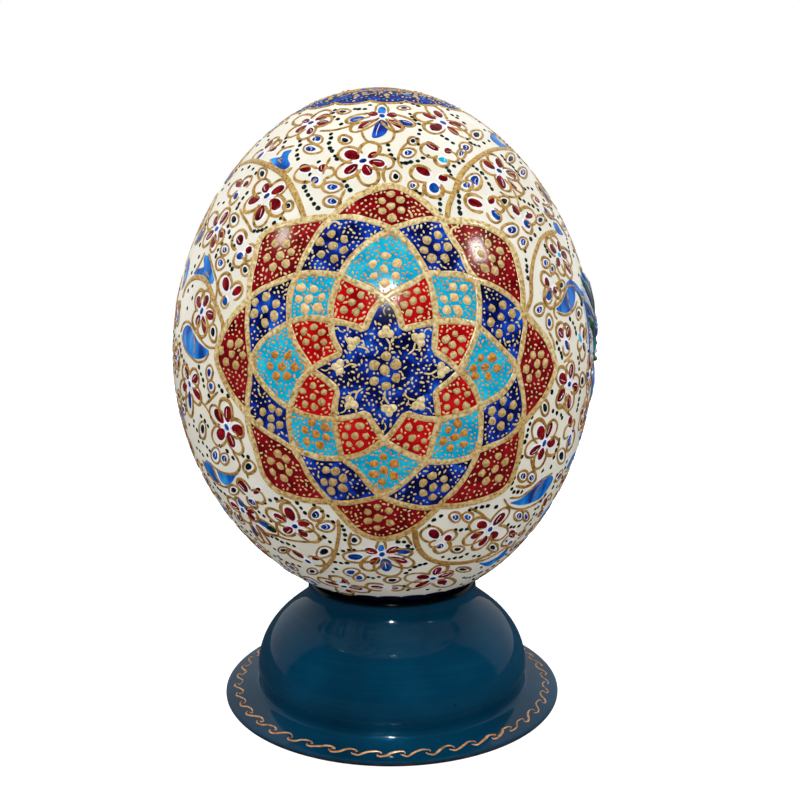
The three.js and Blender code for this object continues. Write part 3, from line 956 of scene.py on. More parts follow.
BANDS = [
    (1.5, [(240, 165), (252, 161), (265, 164), (277, 170), (286, 178), (293, 190), (299, 203), (305, 220)]), (1.1, [(278, 170), (286, 172), (292, 168)]),
    (1.35, [(447, 220), (449, 205), (455, 190), (459, 178), (466, 168), (476, 159), (487, 152), (497, 149), (508, 149), (514, 152)]),
    (1.5, [(183, 297), (186, 287), (191, 280), (197, 277), (204, 279), (209, 286), (213, 297), (218, 310), (223, 325), (222, 335)]),
    (1.3, [(556, 232), (548, 233), (541, 239), (537, 248), (533, 262), (531, 280), (531, 298), (526, 312)]),
    (1.1, [(338, 520), (339, 532), (337, 545), (334, 556), (328, 565), (320, 573)]),
    (1.5, [(415, 530), (416, 541), (419, 549), (425, 556), (434, 561), (446, 563), (460, 563), (473, 561), (483, 557), (495, 551)]),
    (0.62, [(200, 400), (206, 407), (211, 416), (214, 424)]), (0.7, [(233, 452), (238, 460), (240, 467), (236, 473), (229, 474), (221, 472), (213, 466), (206, 460)]),
    (0.75, [(266, 534), (275, 535), (286, 539), (296, 541), (308, 542), (318, 541), (323, 537)]), (0.7, [(320, 131), (335, 130), (350, 126), (360, 123)]),
    (0.75, [(555, 305), (554, 311), (555, 316), (557, 319)]), (0.8, [(559, 404), (564, 408), (568, 413), (572, 417)]), (0.8, [(531, 459), (533, 468), (536, 476), (533, 483), (525, 487), (516, 486)]),
    (0.7, [(572, 353), (569, 358), (564, 362)]), (0.7, [(486, 549), (490, 544), (494, 538)]), (0.6, [(524, 528), (528, 523), (533, 517)]),
    (0.7, [(524, 194), (517, 197), (507, 196), (500, 192)]), (0.6, [(513, 190), (517, 198), (519, 208)]),
    (0.7, [(292, 231), (286, 222), (280, 214)]), (0.7, [(252, 232), (248, 224), (243, 216), (240, 209)]), (0.7, [(345, 190), (340, 200), (336, 210)]),
    (0.7, [(420, 198), (425, 190), (424, 183)]), (0.7, [(385, 182), (383, 174), (386, 166)]), (0.7, [(402, 168), (398, 160), (401, 150), (407, 143)]),
    (0.7, [(330, 158), (326, 166), (323, 174)]), (0.7, [(274, 228), (268, 233)]), (0.7, [(205, 405), (212, 398), (218, 392)]),
    (0.7, [(352, 551), (349, 543), (351, 533)]), (0.7, [(412, 545), (405, 536), (396, 540)]), (0.7, [(470, 508), (480, 513), (487, 519)]),
    (0.7, [(276, 502), (284, 500), (291, 503)]), (0.7, [(248, 478), (246, 470)]), (0.7, [(549, 332), (553, 340), (555, 350)]),
]
# each: paint, filled outline, then gold lines
LEAVES = [
    ("royal", [(566, 285), (569, 280), (574, 282), (579, 288), (584, 295), (588, 304), (582, 299), (576, 292), (571, 289)], []),
    ("royal", [(292, 150), (289, 154), (288, 159), (290, 165), (286, 169), (279, 170), (273, 166), (270, 160), (275, 158), (281, 157), (284, 152)], [[(277, 155), (283, 149), (294, 146)], [(270, 160), (274, 168), (283, 172), (291, 168)], [(281, 163), (279, 160), (283, 159)]]),
    ("royal", [(206, 255), (209, 256), (211, 266), (214, 280), (211, 284), (206, 278), (201, 275), (194, 274), (198, 269), (204, 267), (204, 259)], [[(205, 253), (200, 264), (196, 271)], [(209, 254), (213, 268), (217, 284), (216, 300)], [(206, 272), (209, 277)]]),
    ("royal", [(183, 333), (186, 326), (190, 326), (194, 334), (198, 341), (204, 347), (209, 351), (206, 356), (200, 359), (194, 358), (188, 353), (184, 345)], [[(181, 332), (184, 323), (189, 322), (195, 331), (202, 341), (208, 347), (216, 348)], [(182, 335), (185, 348), (192, 358), (198, 362), (205, 360), (209, 353)], [(194, 334), (195, 345), (194, 355)]]),
    ("royal", [(205, 461), (211, 463), (214, 470), (217, 477), (220, 483), (216, 481), (210, 474), (206, 467)], [[(203, 460), (207, 470), (213, 479), (220, 485), (227, 487), (232, 484)], [(213, 467), (217, 477), (221, 484)]]),
    ("royal", [(217, 469), (222, 472), (230, 475), (235, 475), (239, 473), (235, 477), (232, 482), (227, 485), (222, 482), (219, 476)], []),
    ("royal", [(510, 503), (520, 505), (530, 503), (540, 498), (548, 488), (553, 478), (550, 475), (543, 478), (535, 485), (528, 493), (520, 499), (512, 502)], [[(504, 499), (510, 507), (522, 509), (535, 504), (545, 496)], [(510, 498), (520, 497), (530, 490), (540, 482), (552, 473)], [(533, 498), (536, 491), (543, 482)]]),
    ("royal", [(492, 133), (500, 142), (507, 147), (503, 148), (495, 143), (490, 137)], [[(488, 131), (496, 136), (505, 144), (510, 149)]]),
    ("royal", [(553, 222), (556, 223), (559, 228), (563, 235), (559, 234), (555, 229)], [[(551, 219), (556, 220), (562, 229), (566, 236)]]),
    ("royal", [(556, 309), (560, 305), (564, 298), (566, 292), (568, 288), (571, 286), (574, 289), (575, 297), (574, 304), (571, 310), (566, 313), (561, 312)], [[(553, 306), (558, 304), (563, 297), (565, 290), (568, 286), (573, 286), (577, 291)], [(557, 312), (563, 315), (569, 314), (574, 309), (577, 301)], [(567, 293), (568, 302), (571, 310)]]),
    ("royal", [(303, 579), (310, 580), (316, 583), (318, 585), (311, 584)], [[(300, 577), (309, 577), (320, 583)]]),
    ("royal", [(479, 563), (487, 562), (497, 557), (504, 551), (508, 548), (504, 555), (496, 561), (488, 566)], [[(476, 562), (486, 559), (497, 553), (508, 546)]]),
    ("navy", [(381, 120), (387, 123), (388, 129), (384, 135), (376, 138), (372, 137), (373, 131), (376, 124)], [[(379, 118), (366, 127), (362, 131), (366, 140), (378, 144), (391, 141), (394, 131), (386, 119)]]),
    ("royal", [(382, 559), (387, 559), (391, 562), (392, 567), (388, 571), (383, 570), (380, 565)], [[(379, 558), (374, 566), (378, 573), (388, 576), (399, 574), (402, 567), (397, 562), (388, 557)]]),
    ("royal", [(378, 549), (380, 545), (383, 545), (384, 549), (381, 552)], [[(376, 549), (378, 542), (381, 540), (385, 543), (386, 549)]]),
    ("royal", [(378, 113), (379, 108), (383, 107), (386, 110), (384, 114)], [[(375, 112), (377, 106), (383, 104), (388, 108), (388, 113)]]),
]
WHITE_TICKS = [[(380, 124), (377, 131), (376, 136)], [(385, 562), (386, 568)]]


def draw_ground():
    for w, pts in BANDS:
        take(stroke_px(G["gold" if w > 1 else "line"], pts, w * (1.06 if w > 1 else 1.25), 0.22 if w > 1 else 0.16, wide=w > 1, step=2.5))
    for kind, poly, lines in LEAVES:
        c, _ = spline(poly, True, 2.2)
        take(film(G["azure" if kind == "royal" else kind], c, hit, 0.1, cell=5))
        for ln in lines:
            take(stroke_px(G["line"], ln, 0.78, 0.2, step=2.2))
    for t in WHITE_TICKS:
        stroke_px(G["white"], t, 0.26, 0.18, step=2.5)
    for cx, cy, heart, tips, drops in FLOWERS:
        flower((cx, cy), tips, drops, heart)
    for b in BUDS:
        bud(*b)
    for b in EYES:
        bud(*b, kind="dark")
    for c in CHAINS:
        dots(c)


# ------------------------------------------------------------------ pole medallions
def pole_place(top):
    """mm around a pole, measured as distance and angle, to the shell."""
    def place(xy):
        xy = np.asarray(xy, float)
        r = np.hypot(xy[:, 0], xy[:, 1])
        a = np.arctan2(xy[:, 1], xy[:, 0])
        # plane radius to a height near the pole
        s = np.sqrt(np.clip(1 - (r / A) ** 2, 0.02, 1))
        z = B * s * (1 if top else -1)
        p = np.stack([r * np.cos(a) + bend_of(z / B), r * np.sin(a), z], -1)
        p = on_egg(p)
        return to_world(p), egg_normal(p)

    return place


def polar(r, a):
    return np.stack([r * np.cos(a), r * np.sin(a)], -1)


def medallion(top, R=34.0, lobes=16, phase=0.0):
    place0 = pole_place(top)
    K = R / 34.0

    def place(xy):
        return place0(np.asarray(xy, float) * K)

    R = 34.0

    def line(xy, w, h=0.2, closed=False, kind="gold", wide=False):
        p, n = place(xy)
        SEED[0] += 1
        ribbon(G[kind], p, n, w * wobble(len(p), 0.12, SEED[0]), h, closed, wide)
        take(p)

    a = np.linspace(0, 2 * math.pi, lobes * 14, endpoint=False)
    ph = (a * lobes / (2 * math.pi)) % 1.0
    rim = R - (2.0 if top else 1.4) * (1 - np.sqrt(np.maximum(1 - (2 * ph - 1) ** 2, 0))) ** 0.9
    # painted shade: the lower medallion is a near-black copy of the violet, as it lies in shadow
    take(film(G["violet" if top else "violet_shaded"], polar(rim, a + phase), place, 0.05, cell=2.4))
    if not top:  # the lower pole is left nearly plain: it sits in the stand. Its film and rim line are painted near black as shade
        line(polar(rim, a + phase), 0.9, 0.12, True, kind="violet_shaded", wide=True)
        line(polar(np.full(120, 22.0), np.linspace(0, 2 * math.pi, 120, endpoint=False)), 0.9, 0.2, True)
        line(polar(np.full(120, 12.0), np.linspace(0, 2 * math.pi, 120, endpoint=False)), 0.9, 0.2, True)
    else:
        line(polar(rim, a + phase), 0.95, 0.22, True, wide=True)
    for r0, w in ((22.0, 0.7), (12.0, 0.8)) if top else ():
        line(polar(np.full(120, r0), np.linspace(0, 2 * math.pi, 120, endpoint=False)), w, 0.2, True)
    # band of gold beads under each lobe, and leaf scrolls between
    for k in range(lobes if top else 0):
        aa = phase + (k + 0.5) * 2 * math.pi / lobes
        for dr, da, rr in ((27.6, 0, 0.95), (25.0, -0.06, 0.7), (25.0, 0.06, 0.7), (29.6, 0, 0.6)):
            p, n = place(polar(np.array([dr]), np.array([aa + da])))
            blob("goldblob", (0, 0), rr, 0.4, sides=8, chart=Chart(p[0], n[0], (0.3, 0.2, 0.93)))
        b = phase + k * 2 * math.pi / lobes
        u = np.linspace(0, 1, 9)
        line(polar(23.4 + 4.2 * u, b + 0.05 * np.sin(u * math.pi * 1.6)), 0.45, 0.17)
    # inner ring: eight pointed petals, alternately navy and maroon
    for k in range(8):
        a0 = phase + k * math.pi / 4
        u = np.linspace(-1, 1, 15)
        half = (1 - u * u) * 0.36
        left = polar(17 + 4.4 * u, a0 + half)
        right = polar(17 + 4.4 * u[::-1], a0 - half[::-1])
        xy = np.concatenate([left[:-1], right[:-1]])
        film(G["maroon" if k % 2 else "navy"], xy, place, 0.09, cell=1.8)
        line(xy, 0.55, 0.2, True)
        for dr, da in ((16, 0), (18.4, 0), (17.2, 0.07), (17.2, -0.07)):
            p, n = place(polar(np.array([float(dr)]), np.array([a0 + da])))
            blob("goldwarm", (0, 0), 0.6, 0.38, sides=7, chart=Chart(p[0], n[0], (0.3, 0.2, 0.93)))
    # heart: an eight-lobed flower
    for k in range(8):
        a0 = phase + (k + 0.5) * math.pi / 4
        ctr = polar(np.array([6.0]), np.array([a0]))
        p, n = place(ctr)
        d, _ = place(polar(np.array([9.5]), np.array([a0])))
        ch = Chart(p[0], n[0], d[0] - p[0])
        xy = turned(drop_xy(6.2, 3.0), math.pi / 2, (0, -3.4))
        q, m = ch.at(np.concatenate([xy, [[0, 0.2]]]))
        dome(G["red" if k % 2 else "royal"], q[-1], m[-1], q[:-1], 0.16, ring=0.75, crown=0.9)
        c, _ = spline(turned(drop_xy(7.4, 4.0), math.pi / 2, (0, -4.0)), True, 0.8)
        q, m = ch.at(c)
        ribbon(G["gold"], q, m, 0.5, 0.2, True)
    p, n = place(np.array([[0.0, 0.0]]))
    ch = Chart(p[0], n[0], (0.2, 0.9, 0.1))
    blob("goldblob", (0, 0), 1.7, 0.5, sides=12, chart=ch)
    for k in range(8):
        blob("cream", (2.6 * math.cos(k * math.pi / 4), 2.6 * math.sin(k * math.pi / 4)), 0.42, 0.25, sides=6, chart=ch)
    # fine beads over the blue
    r = np.random.default_rng(5 + int(top))
    pts = []
    for _ in range(4200):
        rr, aa = 32.9 * math.sqrt(r.uniform(0.15, 1.0)), r.uniform(0, 2 * math.pi)
        ok = not (20.9 < rr < 23.2)
        if rr < 21.6:
            kk = ((aa - phase) % (math.pi / 4))
            kk = min(kk, math.pi / 4 - kk)
            ok = ok and kk > 0.36 * (1 - ((rr - 17) / 4.4) ** 2) + 0.06
        else:
            kk = ((aa - phase) * lobes / (2 * math.pi)) % 1.0
            lim = R - 2.0 * (1 - math.sqrt(max(1 - (2 * kk - 1) ** 2, 0))) - 1.3
            ok = ok and rr < lim and not (abs(kk - 0.5) < 0.17 and 24.3 < rr < 30.2) and not (rr < 27.8 and (kk < 0.07 or kk > 0.95))
        if not ok:
            continue
        q = (rr * math.cos(aa), rr * math.sin(aa))
        if pts and min((q[0] - b[0]) ** 2 + (q[1] - b[1]) ** 2 for b in pts) < 1.05 ** 2:
            continue
        pts.append(q)
    if pts and top:
        P, N = place(np.array(pts))
        for i in range(len(pts)):
            blob(("cream", "azure", "cream", "azure", "turquoise")[i % 5], (0, 0), r.uniform(0.26, 0.36), 0.16, long=r.uniform(1, 2), ang=r.uniform(0, 3.1), sides=6, chart=Chart(P[i], N[i], (0.3, 0.2, 0.93)))


# ------------------------------------------------------------------ a small raised bird on the right flank
R_ = {k: Batch() for k in ("teal", "blue", "leafgreen", "pale", "ochre")}


def feather(kind, chart, a, b, width, high, curve=0.0, ring=0.6):
    high = high * 1.12
    a, b = np.asarray(a, float), np.asarray(b, float)
    d = b - a
    L = float(np.linalg.norm(d))
    ang = math.atan2(d[1], d[0])
    xy = drop_xy(L, width, m=11, sharp=0.7, blunt=0.45)
    xy[:, 1] += curve * np.sin(np.clip(xy[:, 0] / L, 0, 1) * math.pi)
    xy = turned(xy, ang, a)
    mid = a + d * 0.55 + np.array([-d[1], d[0]]) / L * curve
    p, n = chart.at(np.concatenate([xy, mid[None]]))
    rim, c, nn = p[:-1], p[-1], n[-1]
    m = len(rim)
    r1 = c + (rim - c) * 0.82
    r2 = c + (rim - c) * 0.45
    verts = np.concatenate([rim - n[:-1] * 0.06, r1 + n[:-1] * high * 0.62, r2 + n[:-1] * high * 0.95, (c + nn * high)[None]])
    i, j = outline_offsets(m)
    t = []
    for s in (0, 1):
        o0, o1 = s * m, (s + 1) * m
        t += [np.stack([o0 + i, o0 + j, o1 + j], -1), np.stack([o0 + i, o1 + j, o1 + i], -1)]
    t.append(np.stack([2 * m + i, 2 * m + j, np.full(m, 3 * m)], -1))
    tris = np.concatenate(t)
    e1 = verts[tris[:, 1]] - verts[tris[:, 0]]
    e2 = verts[tris[:, 2]] - verts[tris[:, 0]]
    if np.sum(np.cross(e1, e2) @ nn) < 0:
        tris = tris[:, ::-1]
    R_[kind].add(verts, tris)


def draw_bird():
    ch = chart_at(-6.0, 107.6)
    take(ch.at(np.array([[x, y] for x in range(-21, 22, 3) for y in range(-18, 27, 3) if abs(x) < 10 or y > abs(x) * 0.35]))[0])
    # tail: long narrow feathers hanging down
    for k, (dx, L) in enumerate(((-6.5, 15), (-3.6, 18.5), (-0.6, 20.5), (2.4, 19), (5.4, 15.5))):
        feather("blue" if k % 2 == 0 else "teal", ch, (dx * 0.25, -4.0), (dx, -L), 1.9, 0.7, curve=0.3 * dx / 6)
        feather("pale", ch, (dx * 0.62, -L * 0.55), (dx * 0.97, -L * 0.93), 0.5, 0.85)
    # wings: raised fans of long striped feathers on both sides
    fan = ((24, 22.0), (33, 25.5), (42, 27.0), (51, 27.0), (60, 26.0), (69, 23.5), (79, 20.0))
    kinds = ("leafgreen", "blue", "pale", "teal", "blue", "pale", "teal")
    for s in (-1, 1):
        root = np.array([s * 1.4, 1.0])
        for k, (deg_, L) in enumerate(fan):
            a = math.radians(deg_)
            tip = root + L * np.array([s * math.cos(a), math.sin(a)])
            h = 0.75 + 0.09 * k
            feather(kinds[k], ch, root, tip, 3.0 if k else 1.5, h, curve=-s * 0.8)
            u = (tip - root) / L
            v = np.array([-u[1], u[0]]) * s
            # a dark quill and a light streak on each
            feather("leafgreen", ch, root + u * 4, root + u * L * 0.93 - v * 0.1, 0.42, h + 0.14, curve=-s * 0.7)
            feather("pale" if kinds[k] != "pale" else "blue", ch, root + u * L * 0.45 + v * 0.7, root + u * L * 0.9 + v * 0.35, 0.5, h + 0.1)
            if k in (1, 4, 6):
                feather("ochre", ch, root + u * L * 0.94, tip + u * 0.8, 0.9, 0.55)
        # short coverts over the roots
        for k, deg_ in enumerate((30, 42, 54, 66, 78)):
            a = math.radians(deg_)
            u = np.array([s * math.cos(a), math.sin(a)])
            feather(("blue", "teal", "leafgreen", "blue", "teal")[k], ch, root + u * 1.0, root + u * 9.5, 2.4, 1.35)
            feather("pale", ch, root + u * 5.0, root + u * 8.8, 0.5, 1.5)
    # body, breast scales, neck and head
    feather("teal", ch, (0, -6.5), (0, 8.5), 6.6, 1.2)
    for r0 in range(4):
        for q in range(-1, 2):
            feather("pale" if (r0 + q) % 2 else "leafgreen", ch, (q * 1.4, 3.6 - r0 * 2.3), (q * 1.4, 1.6 - r0 * 2.3), 1.15, 1.3)
    feather("leafgreen", ch, (0, 6.0), (1.6, 11.6), 3.0, 1.4)
    feather("teal", ch, (0.6, 9.4), (3.2, 12.6), 3.1, 1.55)
    feather("ochre", ch, (2.9, 11.9), (5.4, 12.4), 0.8, 1.0)
    for q in (-0.5, 0.2, 0.9):
        feather("blue", ch, (1.0, 11.8), (0.2 + q * 1.2, 15.2), 0.7, 1.1)
    blob("dark", (2.4, 11.8), 0.36, 2.35, sides=8, chart=ch, low=1.6)
    # loose plumes that reach round towards the front
    for kd, pts, w in (("blue", [(585, 306), (587, 322), (589, 340), (589, 358)], 0.8), ("pale", [(582, 300), (585, 316), (587, 334), (587, 348)], 0.6), ("teal", [(579, 294), (583, 304), (587, 315), (590, 328)], 0.8), ("leafgreen", [(577, 292), (580, 298), (582, 306)], 0.7), ("pale", [(590, 330), (591, 346), (590, 362)], 0.6)):
        stroke_px(R_[kd], pts, w, 0.3, step=3)


# ------------------------------------------------------------------ filling the flanks with the same flowers
def fill_flanks():
    global OCC
    pts = np.concatenate(OCC)
    tree = kdtree.KDTree(len(pts) + 6000)
    for i, p in enumerate(pts):
        tree.insert(Vector(p), i)
    tree.balance()
    placed = []

    def free(p, r):
        _, _, d = tree.find(Vector(p))
        if d is not None and d < r * 0.88:
            return False
        return all(np.linalg.norm(p - q) > (r + s) * (0.8 if r > 3.5 and s < 9 else 0.88) for q, s in placed)

    r = np.random.default_rng(77)
    cand = []
    for _ in range(20000):
        az = r.uniform(0, 360)
        z = r.uniform(-0.97, 0.97)
        cand.append((az, z))
    todo = [("vine", 10.6, 1100), ("leaf", 5.2, 700), ("flower", 6.6, 1900), ("flower", 5.4, 2200), ("sprig", 4.2, 2300), ("chain", 3.0, 1500), ("bud", 2.5, 3400), ("dot", 1.3, 5200)]
    at = 0
    for kind, rad, count in todo:
        for az, s in cand[at : at + count]:
            ch = chart_at(az, ZC + s * B, r.uniform(-3.1, 3.1))
            # the front and back drawings keep their own spacing
            off = abs((az - 90 + 90) % 180 - 90)
            if off < (68 if kind == "vine" else 62 if s > -0.42 else 40):
                # in the drawings themselves only a few dots go into the gaps of the ground
                if kind != "dot":
                    continue
                q = ch.p if ch.p[1] < 0 else ch.p * np.array([-1, -1, 1])
                d = q - CAM
                Z = d[1] * CP - d[2] * SP
                if math.hypot(F * d[0] / Z + 14, F * (d[1] * SP + d[2] * CP) / Z - 37) < 187 or not free(ch.p, 1.95):
                    continue
            if not free(ch.p, rad):
                continue
            placed.append((ch.p, rad))
            k = min(rad / 6.6, 1.0)
            if kind == "vine":
                # a gold tendril curls round a flower and ends in a blue leaf
                a = np.linspace(0.5, 5.3, 24)
                q = np.linspace(1, 0, 24)
                R0 = 8.6 - 1.5 * (1 - q) ** 2 + 0.4 * np.sin(a * 2 + r.uniform(0, 6))
                pts = np.stack([R0 * np.cos(a), R0 * np.sin(a)], -1)
                stroke_chart(G["gold"], ch, pts, 1.25, 0.22, step=0.8, wide=True)
                e = pts[-1]
                curl = np.stack([e + 1.9 * np.array([math.cos(w) - math.cos(2.2), math.sin(w) - math.sin(2.2)]) for w in np.linspace(2.2, -1.2, 9)])
                stroke_chart(G["line"], ch, curl, 0.8, 0.18, step=0.7)
                lf = turned(drop_xy(6.4, 3.0, m=10), 1.9, pts[0] + np.array([0.6, -0.3]))
                p, n = ch.at(np.concatenate([lf, [lf.mean(0)]]))
                dome(G["azure"], p[-1], n[-1], p[:-1], 0.14, ring=0.75, crown=0.92)
                c, _ = spline(turned(drop_xy(7.4, 4.0, m=10), 1.9, pts[0] + np.array([0.6, -0.8])), True, 0.8)
                p, n = ch.at(c)
                ribbon(G["line"], p, n, 0.7 * wobble(len(p), 0.3, 7), 0.17, True)
            if kind == "leaf":
                lf, _ = spline([(-4.2, -0.6), (-1.5, 1.9), (2.2, 1.7), (4.4, -0.9), (1.4, -0.2), (-1.6, -1.7)], True, 0.9)
                p, n = ch.at(np.concatenate([lf, [lf.mean(0)]]))
                take(film(G["azure"], lf, lambda xy: ch.at(xy), 0.1, cell=2.0))
                stroke_chart(G["line"], ch, [(-5.0, -1.4), (-1.8, -2.7), (1.5, -1.3), (4.6, -2.0)], 0.75, 0.18)
                stroke_chart(G["line"], ch, [(-1.6, 0.6), (-0.6, -0.4), (-0.8, -1.3)], 0.6, 0.2)
                continue
            if kind in ("flower", "vine"):
                n = 5 if r.random() < 0.7 else 4
                tips, dr = [], []
                a1 = r.uniform(0, 6.28)
                for i in range(n):
                    a = a1 + i * 2 * math.pi / n + r.uniform(-0.16, 0.16)
                    L = 6.0 * k * r.uniform(0.82, 1.12)
                    if kind == "vine":
                        L *= 0.92
                    tips.append((L * math.cos(a), L * math.sin(a)))
                    q = 3.15 * k * r.uniform(0.92, 1.08)
                    dr.append((q * math.cos(a), q * math.sin(a), ("rb" if r.random() < 0.35 and k > 0.9 else ("r" if k > 0.9 else "rs")) if r.random() < 0.86 else "b"))
                flower(None, tips, dr, "c" if r.random() < 0.25 else "b", chart=ch)
            elif kind == "sprig":
                tips, dr = [], []
                for a, c in ((1.9, "rs"), (0.6, "rs"), (-1.7, "bs")):
                    a += r.uniform(-0.2, 0.2)
                    tips.append((3.9 * math.cos(a), 3.9 * math.sin(a)))
                    dr.append((2.1 * math.cos(a), 2.1 * math.sin(a), c))
                flower(None, tips, dr, "", chart=ch)
            elif kind == "chain":
                b = r.uniform(-0.25, 0.25)
                for i in range(5):
                    x = (i - 2) * 1.5
                    blob("dark", (x, b * x * x * 0.5), r.uniform(0.46, 0.62), 0.2, long=1.2, sides=8, chart=ch)
            elif kind == "bud":
                col = "dark" if r.random() < 0.4 else "royal"
                a = np.linspace(0, 2 * math.pi, 18, endpoint=False)
                pt = 0.94 + 0.34 * np.maximum(np.cos(a - r.uniform(0, 6.28)), 0) ** 5
                xy = turned(np.stack([2.2 * pt * np.cos(a), 1.7 * pt * np.sin(a)], -1), r.uniform(0, 3.1))
                c, _ = spline(xy, True, 0.7)
                p, n = ch.at(c)
                ribbon(G["line"], p, n, 0.75 * wobble(len(p), 0.3, 3), 0.16, True)
                for kk, sc, h in (("white", 0.8, 0.08), (col, 0.58, 0.14)):
                    p, n = ch.at(np.concatenate([xy * sc, [[0, 0]]]))
                    dome(G[kk], p[-1], n[-1], p[:-1], h, ring=0.75, crown=0.95, low=-0.03)
            elif kind == "dot":
                blob("dark", (0, 0), 0.55, 0.2, long=1.3, ang=r.uniform(0, 3.1), sides=8, chart=ch)
        at += count


# ------------------------------------------------------------------ materials
def lin(h):
    h = h.lstrip("#")
    c = [int(h[i : i + 2], 16) / 255 for i in (0, 2, 4)]
    return [x / 12.92 if x <= 0.04045 else ((x + 0.055) / 1.055) ** 2.4 for x in c] + [1.0]


def material(name, stops, scale, rough=0.4, metal=0.0, coat=1.0, coat_rough=0.06, bump=0.0, bump_scale=900.0, detail=4.0, distort=0.3, rough_var=0.08, spec=0.5, extra=None, stretch=None):
    m = bpy.data.materials.new(name)
    m.use_nodes = True
    nt = m.node_tree
    bs = nt.nodes["Principled BSDF"]
    tc = nt.nodes.new("ShaderNodeTexCoord")
    vec = tc.outputs["Object"]
    if stretch:
        mp = nt.nodes.new("ShaderNodeMapping")
        mp.inputs["Scale"].default_value = stretch
        nt.links.new(vec, mp.inputs["Vector"])
        vec = mp.outputs["Vector"]
    nz = nt.nodes.new("ShaderNodeTexNoise")
    nz.inputs["Scale"].default_value = scale
    nz.inputs["Detail"].default_value = detail
    nz.inputs["Distortion"].default_value = distort
    nt.links.new(vec, nz.inputs["Vector"])
    cr = nt.nodes.new("ShaderNodeValToRGB")
    el = cr.color_ramp.elements
    while len(el) > 1:
        el.remove(el[-1])
    el[0].position = stops[0][0]
    el[0].color = lin(stops[0][1])
    for pos, col in stops[1:]:
        e = el.new(pos)
        e.color = lin(col)
    nt.links.new(nz.outputs["Fac"], cr.inputs["Fac"])
    colour = cr.outputs["Color"]
    if extra:
        colour = extra(nt, tc, colour)
    nt.links.new(colour, bs.inputs["Base Color"])
    bs.inputs["Metallic"].default_value = metal
    bs.inputs["Coat Weight"].default_value = coat
    bs.inputs["Coat Roughness"].default_value = coat_rough
    bs.inputs["Specular IOR Level"].default_value = spec
    n2 = nt.nodes.new("ShaderNodeTexNoise")
    n2.inputs["Scale"].default_value = bump_scale
    n2.inputs["Detail"].default_value = 3.0
    nt.links.new(vec, n2.inputs["Vector"])
    mr = nt.nodes.new("ShaderNodeMapRange")
    mr.inputs["To Min"].default_value = max(0.02, rough - rough_var)
    mr.inputs["To Max"].default_value = min(1.0, rough + rough_var)
    nt.links.new(n2.outputs["Fac"], mr.inputs["Value"])
    nt.links.new(mr.outputs["Result"], bs.inputs["Roughness"])
    if bump:
        bp = nt.nodes.new("ShaderNodeBump")
        bp.inputs["Strength"].default_value = bump
        bp.inputs["Distance"].default_value = 0.0002
        nt.links.new(n2.outputs["Fac"], bp.inputs["Height"])
        nt.links.new(bp.outputs["Normal"], bs.inputs["Normal"])
    return m


def shell_pores(nt, tc, colour):
    """Faint pits and grey-brown specks of an ostrich shell under its ivory ground."""
    vo = nt.nodes.new("ShaderNodeTexVoronoi")
    vo.inputs["Scale"].default_value = 330.0
    nt.links.new(tc.outputs["Object"], vo.inputs["Vector"])
    mr = nt.nodes.new("ShaderNodeMapRange")
    mr.inputs["From Min"].default_value = 0.06
    mr.inputs["From Max"].default_value = 0.16
    mr.inputs["To Min"].default_value = 0.5
    mr.inputs["To Max"].default_value = 0.0
    nt.links.new(vo.outputs["Distance"], mr.inputs["Value"])
    big = nt.nodes.new("ShaderNodeTexNoise")
    big.inputs["Scale"].default_value = 45.0
    nt.links.new(tc.outputs["Object"], big.inputs["Vector"])
    mul = nt.nodes.new("ShaderNodeMath")
    mul.operation = "MULTIPLY"
    nt.links.new(mr.outputs["Result"], mul.inputs[0])
    nt.links.new(big.outputs["Fac"], mul.inputs[1])
    mx = nt.nodes.new("ShaderNodeMix")
    mx.data_type = "RGBA"
    mx.inputs["B"].default_value = lin("#C9BFA2")
    for s in mx.inputs:
        if s.name == "A" and s.type == "RGBA":
            nt.links.new(colour, s)
        if s.name == "B" and s.type == "RGBA":
            s.default_value = lin("#C9BFA2")
    nt.links.new(mul.outputs["Value"], mx.inputs["Factor"])
    return [o for o in mx.outputs if o.type == "RGBA"][0]


